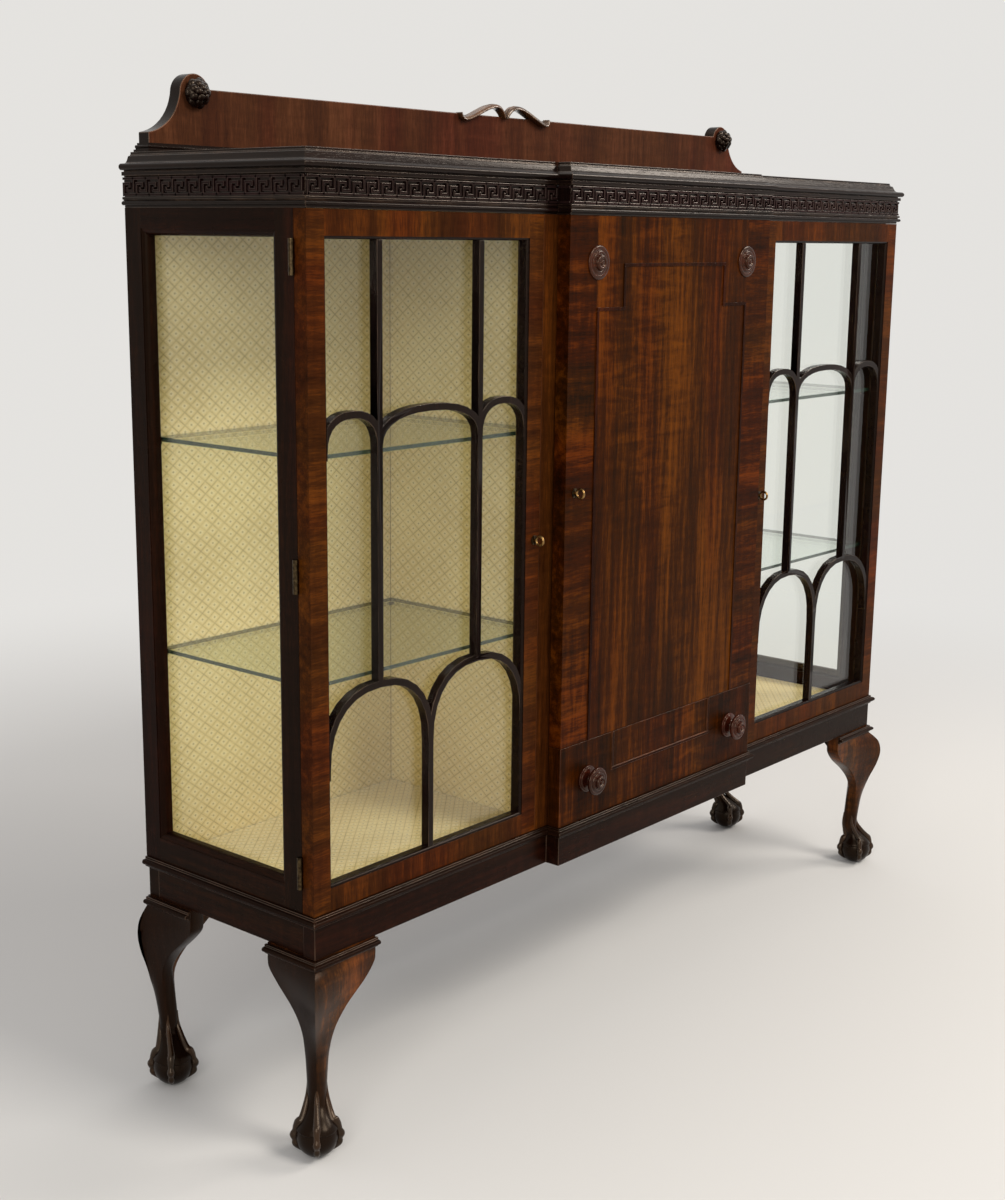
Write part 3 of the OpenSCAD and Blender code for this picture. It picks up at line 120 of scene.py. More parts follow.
def add_world():
    """A dim even light, behind a pale background that only seen rays meet."""
    world = bpy.data.worlds.new("studio")
    bpy.context.scene.world = world
    world.use_nodes = True
    tree = world.node_tree
    tree.nodes.clear()
    out = tree.nodes.new("ShaderNodeOutputWorld")
    mix = tree.nodes.new("ShaderNodeMixShader")
    fill, seen = (tree.nodes.new("ShaderNodeBackground") for _ in range(2))
    fill.inputs["Color"].default_value = AMBIENT
    fill.inputs["Strength"].default_value = AMBIENT_STRENGTH
    seen.inputs["Color"].default_value = BACKGROUND
    seen.inputs["Strength"].default_value = 1.0
    tree.links.new(seen_rays(tree), mix.inputs[0])
    tree.links.new(fill.outputs[0], mix.inputs[1])
    tree.links.new(seen.outputs[0], mix.inputs[2])
    tree.links.new(mix.outputs[0], out.inputs[0])


def floor_material():
    """Faintly clouded plaster that fades into the background."""
    mat = bpy.data.materials.new("floor")
    mat.use_nodes = True
    tree = mat.node_tree
    shader = tree.nodes["Principled BSDF"]
    shader.inputs["Roughness"].default_value = 0.75
    shader.inputs["Specular IOR Level"].default_value = 0.2
    grain = tree.nodes.new("ShaderNodeTexNoise")
    grain.inputs["Scale"].default_value = 2.5
    ramp = tree.nodes.new("ShaderNodeValToRGB")
    ramp.color_ramp.elements[0].color = FLOOR_DARK
    ramp.color_ramp.elements[1].color = FLOOR_PALE
    place = tree.nodes.new("ShaderNodeTexCoord")
    reach = tree.nodes.new("ShaderNodeVectorMath")
    reach.operation = "LENGTH"
    fade = tree.nodes.new("ShaderNodeMapRange")
    fade.interpolation_type = "SMOOTHSTEP"
    fade.inputs["From Min"].default_value = FADE_FROM
    fade.inputs["From Max"].default_value = FADE_TO
    far = tree.nodes.new("ShaderNodeEmission")
    far.inputs["Color"].default_value = BACKGROUND
    share = tree.nodes.new("ShaderNodeMath")
    share.operation = "MULTIPLY"
    both = tree.nodes.new("ShaderNodeMixShader")
    for start, end in ((grain.outputs["Fac"], ramp.inputs[0]),
                       (ramp.outputs[0], shader.inputs["Base Color"]),
                       (place.outputs["Object"], reach.inputs[0]),
                       (reach.outputs["Value"], fade.inputs["Value"]),
                       (fade.outputs[0], share.inputs[0]), (seen_rays(tree), share.inputs[1]),
                       (share.outputs[0], both.inputs[0]), (shader.outputs[0], both.inputs[1]),
                       (far.outputs[0], both.inputs[2]),
                       (both.outputs[0], tree.nodes["Material Output"].inputs["Surface"])):
        tree.links.new(start, end)
    return mat


def add_floor():
    mesh = bpy.data.meshes.new("floor")
    bm = bmesh.new()
    bmesh.ops.create_circle(bm, cap_ends=True, segments=96, radius=FLOOR_RADIUS)
    bm.to_mesh(mesh)
    bm.free()
    floor = bpy.data.objects.new("floor", mesh)
    bpy.context.scene.collection.objects.link(floor)
    mesh.materials.append(floor_material())


bpy.context.scene.view_settings.view_transform = "Standard"
add_camera()
add_world()
add_floor()
for lamp in LAMPS:
    add_lamp(*lamp)


# ---- Materials ----


class Tree:
    """Short ways to build a material's nodes."""

    def __init__(self, name):
        self.mat = bpy.data.materials.new(name)
        self.mat.use_nodes = True
        self.tree = self.mat.node_tree
        self.shader = self.tree.nodes["Principled BSDF"]
        self.out = self.tree.nodes["Material Output"]

    def put(self, socket, value):
        if isinstance(value, bpy.types.NodeSocket):
            self.tree.links.new(value, socket)
        else:
            socket.default_value = value

    def node(self, kind, **inputs):
        n = self.tree.nodes.new("ShaderNode" + kind)
        for key, value in inputs.items():
            self.put(n.inputs[key.replace("_", " ")], value)
        return n

    def maths(self, operation, a, b=0.0, c=0.0):
        n = self.tree.nodes.new("ShaderNodeMath")
        n.operation = operation
        for socket, value in zip(n.inputs, (a, b, c)):
            self.put(socket, value)
        return n.outputs[0]

    def vectors(self, operation, a, b):
        n = self.tree.nodes.new("ShaderNodeVectorMath")
        n.operation = operation
        self.put(n.inputs[0], a)
        self.put(n.inputs[1], b)
        return n.outputs[0]

    def noise(self, vector, scale=1.0, detail=3.0, rough=0.55, distortion=0.0):
        n = self.node("TexNoise", Vector=vector, Scale=scale, Detail=detail, Roughness=rough,
                      Distortion=distortion)
        return n.outputs["Fac"]

    def drawn(self, vector, along, across, **how):
        """Noise with its own scale along the grain and across it."""
        return self.noise(self.vectors("MULTIPLY", vector, (along, across, across)), **how)

    def between(self, value, low=0.0, high=1.0, at_low=0.0, at_high=1.0):
        """The value spread from low and high to at_low and at_high."""
        return self.node("MapRange", Value=value, From_Min=low, From_Max=high, To_Min=at_low,
                         To_Max=at_high).outputs[0]

    def sway(self, value, weight, base):
        """The base moved up and down by the weight as the value leaves one half."""
        return self.maths("MULTIPLY_ADD", self.maths("SUBTRACT", value, 0.5), weight, base)

    def ramp(self, fac, stops):
        n = self.node("ValToRGB", Fac=fac)
        ramp = n.color_ramp
        while len(ramp.elements) < len(stops):
            ramp.elements.new(0.5)
        for element, (at, colour) in zip(ramp.elements, stops):
            element.position = at
            element.color = (*colour, 1)
        return n.outputs["Color"]

    def mix(self, fac, a, b, how="MIX"):
        n = self.tree.nodes.new("ShaderNodeMix")
        n.data_type = "RGBA"
        n.blend_type = how
        factor, first, second, result = n.inputs[0], n.inputs[6], n.inputs[7], n.outputs[2]
        self.put(factor, fac)
        self.put(first, a)
        self.put(second, b)
        return result

    def attribute(self, name):
        n = self.tree.nodes.new("ShaderNodeAttribute")
        n.attribute_name = name
        return n

    def bump(self, height, strength, distance):
        n = self.node("Bump", Height=height, Strength=strength, Distance=distance)
        self.tree.links.new(n.outputs[0], self.shader.inputs["Normal"])


def srgb(text):
    """A colour written as six hex digits, as the shader wants it."""
    parts = [int(text[i : i + 2], 16) / 255 for i in (0, 2, 4)]
    return tuple(c / 12.92 if c <= 0.04045 else ((c + 0.055) / 1.055) ** 2.4 for c in parts)


# Tint of a reflection in the polish, tint of the redder streaks, and how much brighter than the
# rest an eased edge shines
POLISH_TINT = (1.0, 0.78, 0.58, 1)
RED_TINT = (1.0, 0.74, 0.85, 1)
EDGE_SHINE = 0.4


def wood(name, tones, wear_and_highlight="5a2c14", stripe=1.0, shine=0.03, coat=0.0, gloss=0.32, pores=1.0,
         figure=0.0, bands=0.8):
    """Polished wood. tones are its dark, middle and light colours. The grain attribute runs along
    the wood first, then across it. The attribute on eased edges shifts them towards the edge
    colour, partly as bared wood and partly as a painted highlight, and polishes them; the stain
    attribute darkens the wood. stripe, bands and figure weigh the fine ribbon, the broad bands
    and the curl across the grain."""
    dark, mid, light = map(srgb, tones.split())
    t = Tree(name)
    grain = t.attribute("grain").outputs["Vector"]
    drift = t.drawn(grain, 3.0, 9.0, detail=2.0)
    drift = t.maths("MULTIPLY", t.maths("SUBTRACT", drift, 0.5), 0.012)
    line = t.vectors("ADD", grain, t.node("CombineXYZ", X=0.0, Y=drift, Z=drift).outputs[0])
    ribbon = t.drawn(line, 5.0, 110.0, detail=4.0, rough=0.6)
    broad = t.drawn(line, 1.6, 13.0)
    fleck = t.drawn(line, 55.0, 520.0, detail=4.0, rough=0.7)
    curl = t.drawn(line, 90.0, 16.0, distortion=0.6)
    mottled = t.between(t.drawn(grain, 1.5, 5.5, detail=2.0), 0.45, 0.6, 0.3, 0.3 + figure)
    tone = t.sway(ribbon, 1.15 * stripe, 0.5)
    tone = t.sway(broad, bands, tone)
    tone = t.sway(fleck, 0.75, tone)
    tone = t.sway(curl, mottled, tone)
    colour = t.ramp(tone, [(0.12, dark), (0.5, mid), (0.9, light)])
    redder = t.between(t.drawn(line, 0.8, 8.0, detail=2.0), 0.42, 0.62)
    colour = t.mix(redder, colour, RED_TINT, "MULTIPLY")
    colour = t.mix(t.attribute("stain").outputs["Fac"], colour, (*dark, 1))
    pore = t.between(t.drawn(grain, 70.0, 1800.0, detail=2.0), 0.57, 0.68)
    colour = t.mix(t.maths("MULTIPLY", pore, 0.45 * pores), colour, (*dark, 1))
    # Eased edges shift towards the edge colour: partly bared wood, partly a painted highlight.
    wear_and_highlight_share = t.attribute("wear_and_highlight").outputs["Fac"]
    patch = t.between(t.drawn(grain, 25.0, 25.0), 0.42, 0.62)
    colour = t.mix(t.maths("MULTIPLY", wear_and_highlight_share, patch), colour, (*srgb(wear_and_highlight), 1))
    haze = t.between(t.drawn(grain, 7.0, 7.0, detail=4.0), at_low=gloss - 0.06,
                     at_high=gloss + 0.1)
    for socket, value in (
            ("Base Color", colour), ("Roughness", haze),
            ("Specular IOR Level", t.maths("MULTIPLY_ADD", wear_and_highlight_share, EDGE_SHINE, shine)),
            ("Specular Tint", POLISH_TINT), ("Coat Weight", coat), ("Coat Roughness", 0.12)):
        t.put(t.shader.inputs[socket], value)
    t.bump(t.maths("ADD", t.maths("MULTIPLY", fleck, 0.25), t.maths("MULTIPLY", pore, -0.35)),
           0.3, 0.0003)
    return t.mat


# The trellis printed on the lining: the width and height of a diamond
TRELLIS_WIDE, TRELLIS_TALL = 0.0205, 0.0165


def cloth(name):
    """Pale woven lining printed with a small trellis and a dot in each diamond."""
    t = Tree(name)
    place = t.attribute("grain").outputs["Vector"]
    drift = t.drawn(place, 14.0, 14.0, detail=2.0)
    drift = t.maths("MULTIPLY", t.maths("SUBTRACT", drift, 0.5), 0.05)
    parts = t.node("SeparateXYZ", Vector=place)
    across = t.maths("MULTIPLY", parts.outputs["X"], 1 / TRELLIS_WIDE)
    up = t.maths("MULTIPLY", parts.outputs["Y"], 1 / TRELLIS_TALL)

    def off_line(value):
        """0 on a line, 0.5 midway between two."""
        part = t.maths("FRACT", t.maths("ADD", value, drift))
        return t.maths("SUBTRACT", 0.5, t.maths("ABSOLUTE", t.maths("SUBTRACT", part, 0.5)))

    rising = off_line(t.maths("ADD", across, up))
    falling = off_line(t.maths("SUBTRACT", across, up))
    nearest = t.maths("MINIMUM", rising, falling)
    line = t.between(nearest, 0.025, 0.075, 1.0, 0.0)
    dot = t.between(nearest, 0.38, 0.44)
    halo = t.between(nearest, 0.16, 0.3)
    faded = t.drawn(place, 55.0, 55.0)
    line = t.maths("MULTIPLY", line, t.between(faded, 0.3, 0.65, 0.2))
    speck = t.between(t.drawn(place, 700.0, 700.0, detail=2.0), 0.55, 0.7)
    warp, weft = (t.node("TexWave", Vector=place, Scale=420.0, Distortion=0.6) for _ in range(2))
    warp.bands_direction, weft.bands_direction = "X", "Y"
    weave = t.maths("MULTIPLY", warp.outputs["Fac"], weft.outputs["Fac"])
    age = t.drawn(place, 6.0, 6.0, detail=4.0)
    colour = t.ramp(age, [(0.3, srgb("d8bf80")), (0.55, srgb("e6cf92")), (0.8, srgb("efdca4"))])
    for mark, strength, ink in ((halo, 0.4, "f0e2b4"), (line, 0.6, "84682f"),
                                (dot, 0.6, "775824"), (speck, 0.3, "a3823f"),
                                (weave, 0.12, "b7a264")):
        colour = t.mix(t.maths("MULTIPLY", mark, strength), colour, (*srgb(ink), 1))
    for socket, value in (("Base Color", colour), ("Roughness", 0.9),
                          ("Specular IOR Level", 0.15), ("Sheen Weight", 0.25)):
        t.put(t.shader.inputs[socket], value)
    t.bump(weave, 0.3, 0.0004)
    return t.mat


def glass(name, tint, edge):
    """Clear glass that lets light through, mirrors a little at an angle, and is green at its
    rim."""
    t = Tree(name)
    t.tree.nodes.remove(t.shader)
    clear = t.node("BsdfTransparent", Color=(*tint, 1))
    mirror = t.node("BsdfGlossy", Color=(1, 1, 1, 1), Roughness=0.02)
    away = t.node("LayerWeight", Blend=0.5).outputs["Facing"]
    share = t.maths("MULTIPLY_ADD", t.maths("POWER", away, 5.0), 0.9, 0.03)
    pane = t.node("MixShader", Fac=share)
    t.put(pane.inputs[1], clear.outputs[0])
    t.put(pane.inputs[2], mirror.outputs[0])
    streak = t.noise(t.node("TexCoord").outputs["Object"], scale=60.0)
    green = t.ramp(streak, [(0.3, [0.6 * c for c in edge]), (0.7, edge)])
    rim = t.node("BsdfPrincipled", Base_Color=green, Roughness=0.15, Specular_IOR_Level=0.2,
                 Alpha=0.92)
    both = t.node("MixShader", Fac=t.attribute("rim").outputs["Fac"])
    t.put(both.inputs[1], pane.outputs[0])
    t.put(both.inputs[2], rim.outputs[0])
    t.put(t.out.inputs["Surface"], both.outputs[0])
    return t.mat


def brass(name, bright, dull):
    """Cast brass, clouded by tarnish."""
    t = Tree(name)
    place = t.node("TexCoord").outputs["Object"]
    tarnish = t.noise(place, scale=260.0, detail=4.0)
    for socket, value in (("Base Color", t.ramp(tarnish, [(0.35, dull), (0.65, bright)])),
                          ("Metallic", 1.0),
                          ("Roughness", t.between(tarnish, at_low=0.42, at_high=0.22))):
        t.put(t.shader.inputs[socket], value)
    t.bump(t.noise(place, scale=900.0), 0.1, 0.0002)
    return t.mat


LINING = cloth("printed_lining")
PANE = glass("pane_glass", (0.985, 0.995, 0.985), srgb("3f5a44"))
SHELF = glass("shelf_glass", (0.93, 0.965, 0.935), srgb("24382c"))
BRASS = brass("aged_brass", srgb("a98452"), srgb("5e4726"))
BRONZE = brass("dull_bronze", srgb("54452f"), srgb("2a2117"))
# The colour after a wood's tones is its eased edges' colour, partly bared wood and partly a painted
# highlight.
FIELD = wood("ribbon_mahogany", "170a02 321602 5d3006", figure=0.5, bands=1.3)
BAND = wood("crossband_mahogany", "1d0b02 3a1d07 62340c", stripe=0.8)
INLAY = wood("bead_mahogany", "120603 220f06 3e1d0c", "6b3c20")
GALLERY = wood("gallery_mahogany", "2a1710 452717 633b25", stripe=0.6)
CASE = wood("case_mahogany", "0c0502 180b05 2e170a", "382216", stripe=0.7, shine=0.05, gloss=0.26)
DARK = wood("ebonised_mahogany", "070403 110907 1e120d", "3c2c22", stripe=0.6, shine=0.12,
            gloss=0.16)
FRET = wood("fret_mahogany", "0d0706 1c1110 2e201d", "3a2c28", stripe=0.5, shine=0.05, gloss=0.22)
LEG = wood("leg_mahogany", "120804 351d06 6b4013", "2e1a0c", stripe=0.7, shine=0.14, gloss=0.22,
           bands=1.2, figure=0.4)
# A darker copy of the leg's wood for the side half of each leg: painted shade.
LEG_SIDE_PAINTED_SHADE = wood("leg_side_painted_shade_mahogany", "120804 1a0e06 2c190c", stripe=0.7, shine=0.1, gloss=0.24)
POLISHED = wood("turned_mahogany", "150603 2c1108 4a2010", stripe=0.5, shine=0.28, gloss=0.12,
                pores=0.2)
CARVED = wood("carved_mahogany", "080403 120a07 221610", "4a3020", stripe=0.5, shine=0.22,
              gloss=0.18, pores=0.1)
# The crest's lighter gold is mahogany lightened by a painted reflection of the lamps.
CREST_WOOD_AND_SHEEN = wood("crest_mahogany", "22120a 3c2513 7a5630", "b8925a", stripe=0.7, shine=0.4, coat=0.6,
            gloss=0.24)
PLAIN = wood("plain_wood", "4a2f18 6e4826 8f6337", "8f6337", gloss=0.5)


# ---- Wood made from the construction model ----


def part_boxes(bm):
    """The separate solids of a mesh, each as (vertices, lowest corner, highest corner)."""
    left = set(bm.verts)
    found = []
    while left:
        start = left.pop()
        part, queue = [start], [start]
        while queue:
            for edge in queue.pop().link_edges:
                for v in edge.verts:
                    if v in left:
                        left.remove(v)
                        part.append(v)
                        queue.append(v)
        low = Vector(min(v.co[i] for v in part) for i in range(3))
        high = Vector(max(v.co[i] for v in part) for i in range(3))
        found.append((part, low, high))
    return sorted(found, key=lambda p: tuple(round(c, 5) for c in (*p[1], *p[2])))


def longest(low, high):
    """The axis along the longest side of a piece of wood."""
    size = high - low
    return max(range(3), key=lambda i: size[i])


def crossways(low, high):
    """Veneer laid across a rail or stile that is seen from the front."""
    return 0 if longest(low, high) == 2 else 2


def upright(low, high):
    return 2


def level(low, high):
    return 0


def write_grain(bm, direction, seed):
    """Writes each point's place along and across its own piece of wood."""
    layer = bm.verts.layers.float_vector.new("grain")
    rng = random.Random(seed)
    for part, low, high in part_boxes(bm):
        axis = direction(low, high)
        others = [i for i in range(3) if i != axis]
        shift = Vector((rng.uniform(0, 9), rng.uniform(0, 9), rng.uniform(0, 9)))
        for v in part:
            v[layer] = Vector((v.co[axis], v.co[others[0]], v.co[others[1]])) + shift


def new_piece(name, bm, material, body, smooth=True, others=()):
    """An object made from bm that rides on its body and has its materials."""
    mesh = bpy.data.meshes.new(name)
    bm.to_mesh(mesh)
    bm.free()
    for each in (material, *others):
        mesh.materials.append(each)
    piece = bpy.data.objects.new(name, mesh)
    bpy.context.scene.collection.objects.link(piece)
    if smooth:
        mesh.polygons.foreach_set("use_smooth", [True] * len(mesh.polygons))
    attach(piece, body)
    return piece


def from_node(node):
    """The node's mesh with its triangles joined back into the faces they came from."""
    bm = bmesh.new()
    bm.from_mesh(nodes[node].data)
    bmesh.ops.remove_doubles(bm, verts=bm.verts, dist=1e-6)
    bmesh.ops.dissolve_limit(bm, angle_limit=math.radians(0.5), verts=bm.verts, edges=bm.edges)
    return bm


def ease_edges(bm, width, segments=2, sharp=28.0):
    """Rounds every sharp edge a little and marks the new faces for the edge colour, which is
    partly wear and partly a painted highlight.
    """
    wear_and_highlight = bm.faces.layers.float.new("wear_and_highlight")
    edges = [e for e in bm.edges
             if len(e.link_faces) == 2 and e.calc_face_angle(0.0) > math.radians(sharp)]
    made = bmesh.ops.bevel(bm, geom=edges, offset=width, segments=segments, profile=0.5,
                           affect="EDGES", clamp_overlap=True)
    for face in made["faces"]:
        face[wear_and_highlight] = 1.0


def eased(node, material, direction, seed, width=0.0008, segments=2, second=None, second_on=None,
          divide=None):
    """The node as finished wood: its own shape with eased edges and grain. The faces that
    second_on picks take the second material. divide cuts the veneer into separate leaves, or
    adds the small blocks that the shape lacks."""
    bm = from_node(node)
    ease_edges(bm, width, segments)
    if divide:
        divide(bm)
    write_grain(bm, direction, seed)
    if second:
        for face in bm.faces:
            face.material_index = int(second_on(face))
    piece = new_piece(node + ".wood", bm, material, body_of_node[node],
                      others=(second,) if second else ())
    piece.modifiers.new("facets", "WEIGHTED_NORMAL").keep_sharp = True
    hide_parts(node)


def corner_tongues(bm):
    """Fills the square left between the mitred cornice and the top board where the front steps."""
    near, past_step, within_step = 0.001, 0.01, 0.0095
    low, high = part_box("top_board")
    board = [v.co for v in nodes["top_board"].data.vertices]
    inner_x = max(abs(c.x) for c in board if c.y < low.y + near)
    inner_y = min(c.y for c in board if abs(c.x) > inner_x + past_step)
    rim_y = max(v.co.y for v in nodes["cornice"].data.vertices
                if abs(v.co.x) < inner_x + within_step and v.co.z > high.z - near
                and v.co.y < inner_y)
    wide, tall = inner_y - rim_y, high.z - low.z
    for side in (-1, 1):
        for v in bmesh.ops.create_cube(bm, size=1.0)["verts"]:
            x, y, z = v.co
            v.co = Vector((side * (inner_x + wide / 2) + wide * x, rim_y + wide * (y + 0.5),
                           low.z + tall * (z + 0.5)))


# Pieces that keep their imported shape, and their wood. A piece's place in the list sets its grain.
JOINERY = [
    ("front_apron", CASE), ("side_aprons", CASE), ("back_apron", CASE), ("corner_blocks", PLAIN),
    ("leg_capitals", CASE), ("waist_moulding", CASE), ("floor_board", CASE),
    ("left_side_frame", CASE), ("right_side_frame", CASE), ("side_glass_beads", CASE),
    ("partitions", CASE), ("posts", BAND), ("back_panel", PLAIN), ("drawer_divider", CASE),
    ("drawer_runners", PLAIN), ("ceiling_board", CASE), ("frieze_board", DARK),
    ("frieze_bead", DARK), ("cornice", DARK), ("top_board", CASE), ("gallery_moulding", DARK),
    ("wooden_shelves", PLAIN), ("left_door_beads", CASE), ("right_door_beads", CASE),
    ("drawer_box", PLAIN), ("drawer_bottom", PLAIN)]
for number, (node, material) in enumerate(JOINERY):
    eased(node, material, upright if node == "back_panel" else longest, seed=number + 1,
          divide=corner_tongues if node == "top_board" else None)

centre_face_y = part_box("front_apron")[0].y
# How far a face or a point of a bead stands out at least, and the way from a bead to the cut
BEAD_FACE, BEAD_POINT, BESIDE_BEAD = 0.0001, 0.0005, 0.0007
# Twice the least distance of a side band from the middle of the front
BAND_APART = 0.25


def end_grain_and_painted_shade(face):
    """The thickness of a board that faces the front; dark as end grain and as painted shade."""
    return abs(face.normal.y) < 0.7


def on_bead(face):
    """The thin raised beads on the centre door and the drawer."""
    return face.calc_center_median().y < centre_face_y - BEAD_FACE


def in_opening(glass, beside):
    """Picks the moulded inner edge of a door frame, out to a little beyond its glass."""
    low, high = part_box(glass)

    def test(face):
        c = face.calc_center_median()
        return (low.x + beside < c.x < high.x - beside and low.z + beside < c.z < high.z - beside)

    return test


def crossbands(bm):
    """Cuts the side bands of the panelled front off along its upright beads."""
    beads = [abs(v.co.x) for v in bm.verts if v.co.y < centre_face_y - BEAD_POINT]
    edge = max(beads) + BESIDE_BEAD
    for x in (-edge, edge):
        cut = bmesh.ops.bisect_plane(bm, geom=[*bm.verts, *bm.edges, *bm.faces],
                                     plane_co=(x, 0, 0), plane_no=(1, 0, 0))
        bmesh.ops.split_edges(bm, edges=[e for e in cut["geom_cut"]
                                         if isinstance(e, bmesh.types.BMEdge)])


def banded(low, high):
    """Level grain in the bands at the sides, upright grain between them."""
    return 0 if abs(low.x + high.x) > BAND_APART else 2


for number, side in enumerate(("left", "right")):
    eased(side + "_door_frame", BAND, crossways, seed=40 + number, second=DARK,
          second_on=in_opening(side + "_door_glass", 0.0019))
    eased(side + "_door_bars", DARK, longest, width=0.0026, segments=4, seed=70 + number)
eased("centre_door", FIELD, banded, seed=44, second=INLAY, second_on=on_bead, divide=crossbands)
eased("drawer_front", FIELD, upright, seed=45, second=INLAY, second_on=on_bead)
# The gallery board's thickness is dark partly as end grain and partly as painted shade.
eased("gallery_board", GALLERY, upright, width=0.0012, seed=46, second=DARK, second_on=end_grain_and_painted_shade)


# ---- Turned, carved and moulded pieces ----


def node_parts(node):
    """The separate solids of a node, each as its lowest and highest corner."""
    bm = from_node(node)
    found = [(low, high) for part, low, high in part_boxes(bm)]
    bm.free()
    return found


def stroke(points, width):
    """The outline of a line of square-cornered strokes drawn through the points."""
    half, sharpest = width / 2, 0.2
    left, right = [], []
    for i, p in enumerate(points):
        before = (p - points[i - 1]).normalized() if i else (points[1] - p).normalized()
        after = (points[i + 1] - p).normalized() if i < len(points) - 1 else before
        square = Vector((-before.y, before.x))
        mitre = square + Vector((-after.y, after.x))
        mitre = mitre / max(mitre.dot(square), sharpest) * half
        left.append(p + mitre)
        right.append(p - mitre)
    return left + right[::-1]


def raise_shape(bm, outline, place, depth):
    """Extrudes a flat outline. place turns (along, up, out) into a point of the cabinet."""
    back = [bm.verts.new(place(p.x, p.y, 0)) for p in outline]
    front = [bm.verts.new(place(p.x, p.y, depth)) for p in outline]
    bm.faces.new(front)
    count = len(outline)
    for i in range(count):
        j = (i + 1) % count
        bm.faces.new((back[i], back[j], front[j], front[i]))


# The fret's height, the length of a unit, the width and relief of a line, and how far it stays
# from its board's top and rear edges
KEY_TALL, KEY_PITCH, KEY_LINE, KEY_RELIEF = 0.0222, 0.0237, 0.0031, 0.003
KEY_BELOW, KEY_REAR = 0.0006, 0.001
# A unit's two hooks, as shares of the unit's length and height
KEY_HOOKS = ([(0.06, 0), (0.06, 0.66), (0.53, 0.66), (0.53, 0.46)],
             [(0.81, 1), (0.81, 0.27), (0.34, 0.27), (0.34, 0.47)])


def greek_key():
    """The fret carved round the frieze: two hooks to each unit, between two thin rails."""
    low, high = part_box("frieze_board")
    centre_low, centre_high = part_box("centre_door")
    foot = high.z - KEY_BELOW - KEY_TALL
    side_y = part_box("left_door_frame")[0].y
    rear = high.y - KEY_REAR
    corners = [(low.x, rear), (low.x, side_y), (centre_low.x, side_y), (centre_low.x, low.y),
               (centre_high.x, low.y), (centre_high.x, side_y), (high.x, side_y), (high.x, rear)]
    bm = bmesh.new()
    for a, b in zip(corners, corners[1:]):
        a, b = Vector(a), Vector(b)
        run = b - a
        length = run.length
        along = run / length
        out = Vector((along.y, -along.x))

        def place(x, z, depth):
            at = a + along * x + out * depth
            return Vector((at.x, at.y, foot + z))

        for z in (KEY_LINE / 2, KEY_TALL - KEY_LINE / 2):
            rail = stroke([Vector((0, z)), Vector((length, z))], KEY_LINE)
            raise_shape(bm, rail, place, KEY_RELIEF)
        if length < KEY_PITCH:
            continue
        count = round(length / KEY_PITCH)
        step = length / count
        for i in range(count):
            for hook in KEY_HOOKS:
                points = [Vector((i * step + p * step, q * KEY_TALL)) for p, q in hook]
                raise_shape(bm, stroke(points, KEY_LINE), place, KEY_RELIEF)
    bmesh.ops.recalc_face_normals(bm, faces=bm.faces)
    ease_edges(bm, 0.0004, 2, sharp=50)
    layer = bm.verts.layers.float_vector.new("grain")
    for v in bm.verts:
        v[layer] = Vector((v.co.x + v.co.y, v.co.z, v.co.y))
    new_piece("greek_key_fret", bm, FRET, "case", smooth=False)


def lathe(bm, profile, middle, back, segments=56):
    """A turned shape on an axis that runs forwards from back. profile is (radius, out) pairs."""
    rings = []
    for radius, out in profile:
        ring = []
        for i in range(segments):
            angle = 2 * math.pi * i / segments
            ring.append(bm.verts.new((middle.x + radius * math.cos(angle), back - out,
                                      middle.z + radius * math.sin(angle))))
        rings.append(ring)
    for lower, upper in zip(rings, rings[1:]):
        for i in range(segments):
            j = (i + 1) % segments
            bm.faces.new((lower[i], lower[j], upper[j], upper[i]))
    bm.faces.new(rings[-1])


def smooth_profile(points):
    """A curve through the points, so that a turned shape has no hard rings but its own."""
    least = 0.0001
    return [(max(radius, least), out) for radius, out in curve(points, 4)]


# A turned face and the stem and lip of a knob, each from its rear to its front, as shares of the
# radius and of the distance out
FACE_RINGS = [(1.0, 0.0), (1.0, 0.10), (0.99, 0.2), (0.95, 0.3), (0.87, 0.36), (0.78, 0.34),
              (0.73, 0.30), (0.70, 0.36), (0.66, 0.48), (0.6, 0.53), (0.53, 0.5), (0.49, 0.46),
              (0.47, 0.54), (0.455, 0.72), (0.42, 0.88), (0.36, 0.97), (0.29, 0.96),
              (0.23, 0.84), (0.19, 0.76), (0.165, 0.82), (0.13, 0.96), (0.07, 1.0), (0.005, 1.0)]
STEM_RINGS = [(0.94, 0.0), (0.96, 0.05), (0.93, 0.1), (0.84, 0.12), (0.80, 0.17), (0.62, 0.21),
              (0.45, 0.27), (0.38, 0.35), (0.38, 0.42), (0.46, 0.48), (0.68, 0.52), (0.9, 0.56),
              (0.98, 0.6)]
# Where a knob's face starts, as a share of the knob's distance out
KNOB_FACE = 0.64


def turned_face(radius, start, rise):
    return [(radius * r, start + rise * h) for r, h in FACE_RINGS]


def turned(node, name, profile_of):
    """Every solid of a node as a turned piece, all of them in one mesh."""
    bm = bmesh.new()
    for low, high in node_parts(node):
        radius = (high.x - low.x) / 2
        lathe(bm, smooth_profile(profile_of(radius, centre_face_y - low.y)), (low + high) / 2,
              centre_face_y)
    bmesh.ops.recalc_face_normals(bm, faces=bm.faces)
    write_grain(bm, level, 31)
    piece = new_piece(name, bm, POLISHED, body_of_node[node])
    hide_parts(node)


def roundel_profile(radius, out):
    return turned_face(radius, 0.0, out)


def knob_profile(radius, out):
    stem = [(radius * r, out * h) for r, h in STEM_RINGS]
    return stem + turned_face(radius, KNOB_FACE * out, (1 - KNOB_FACE) * out)[1:]


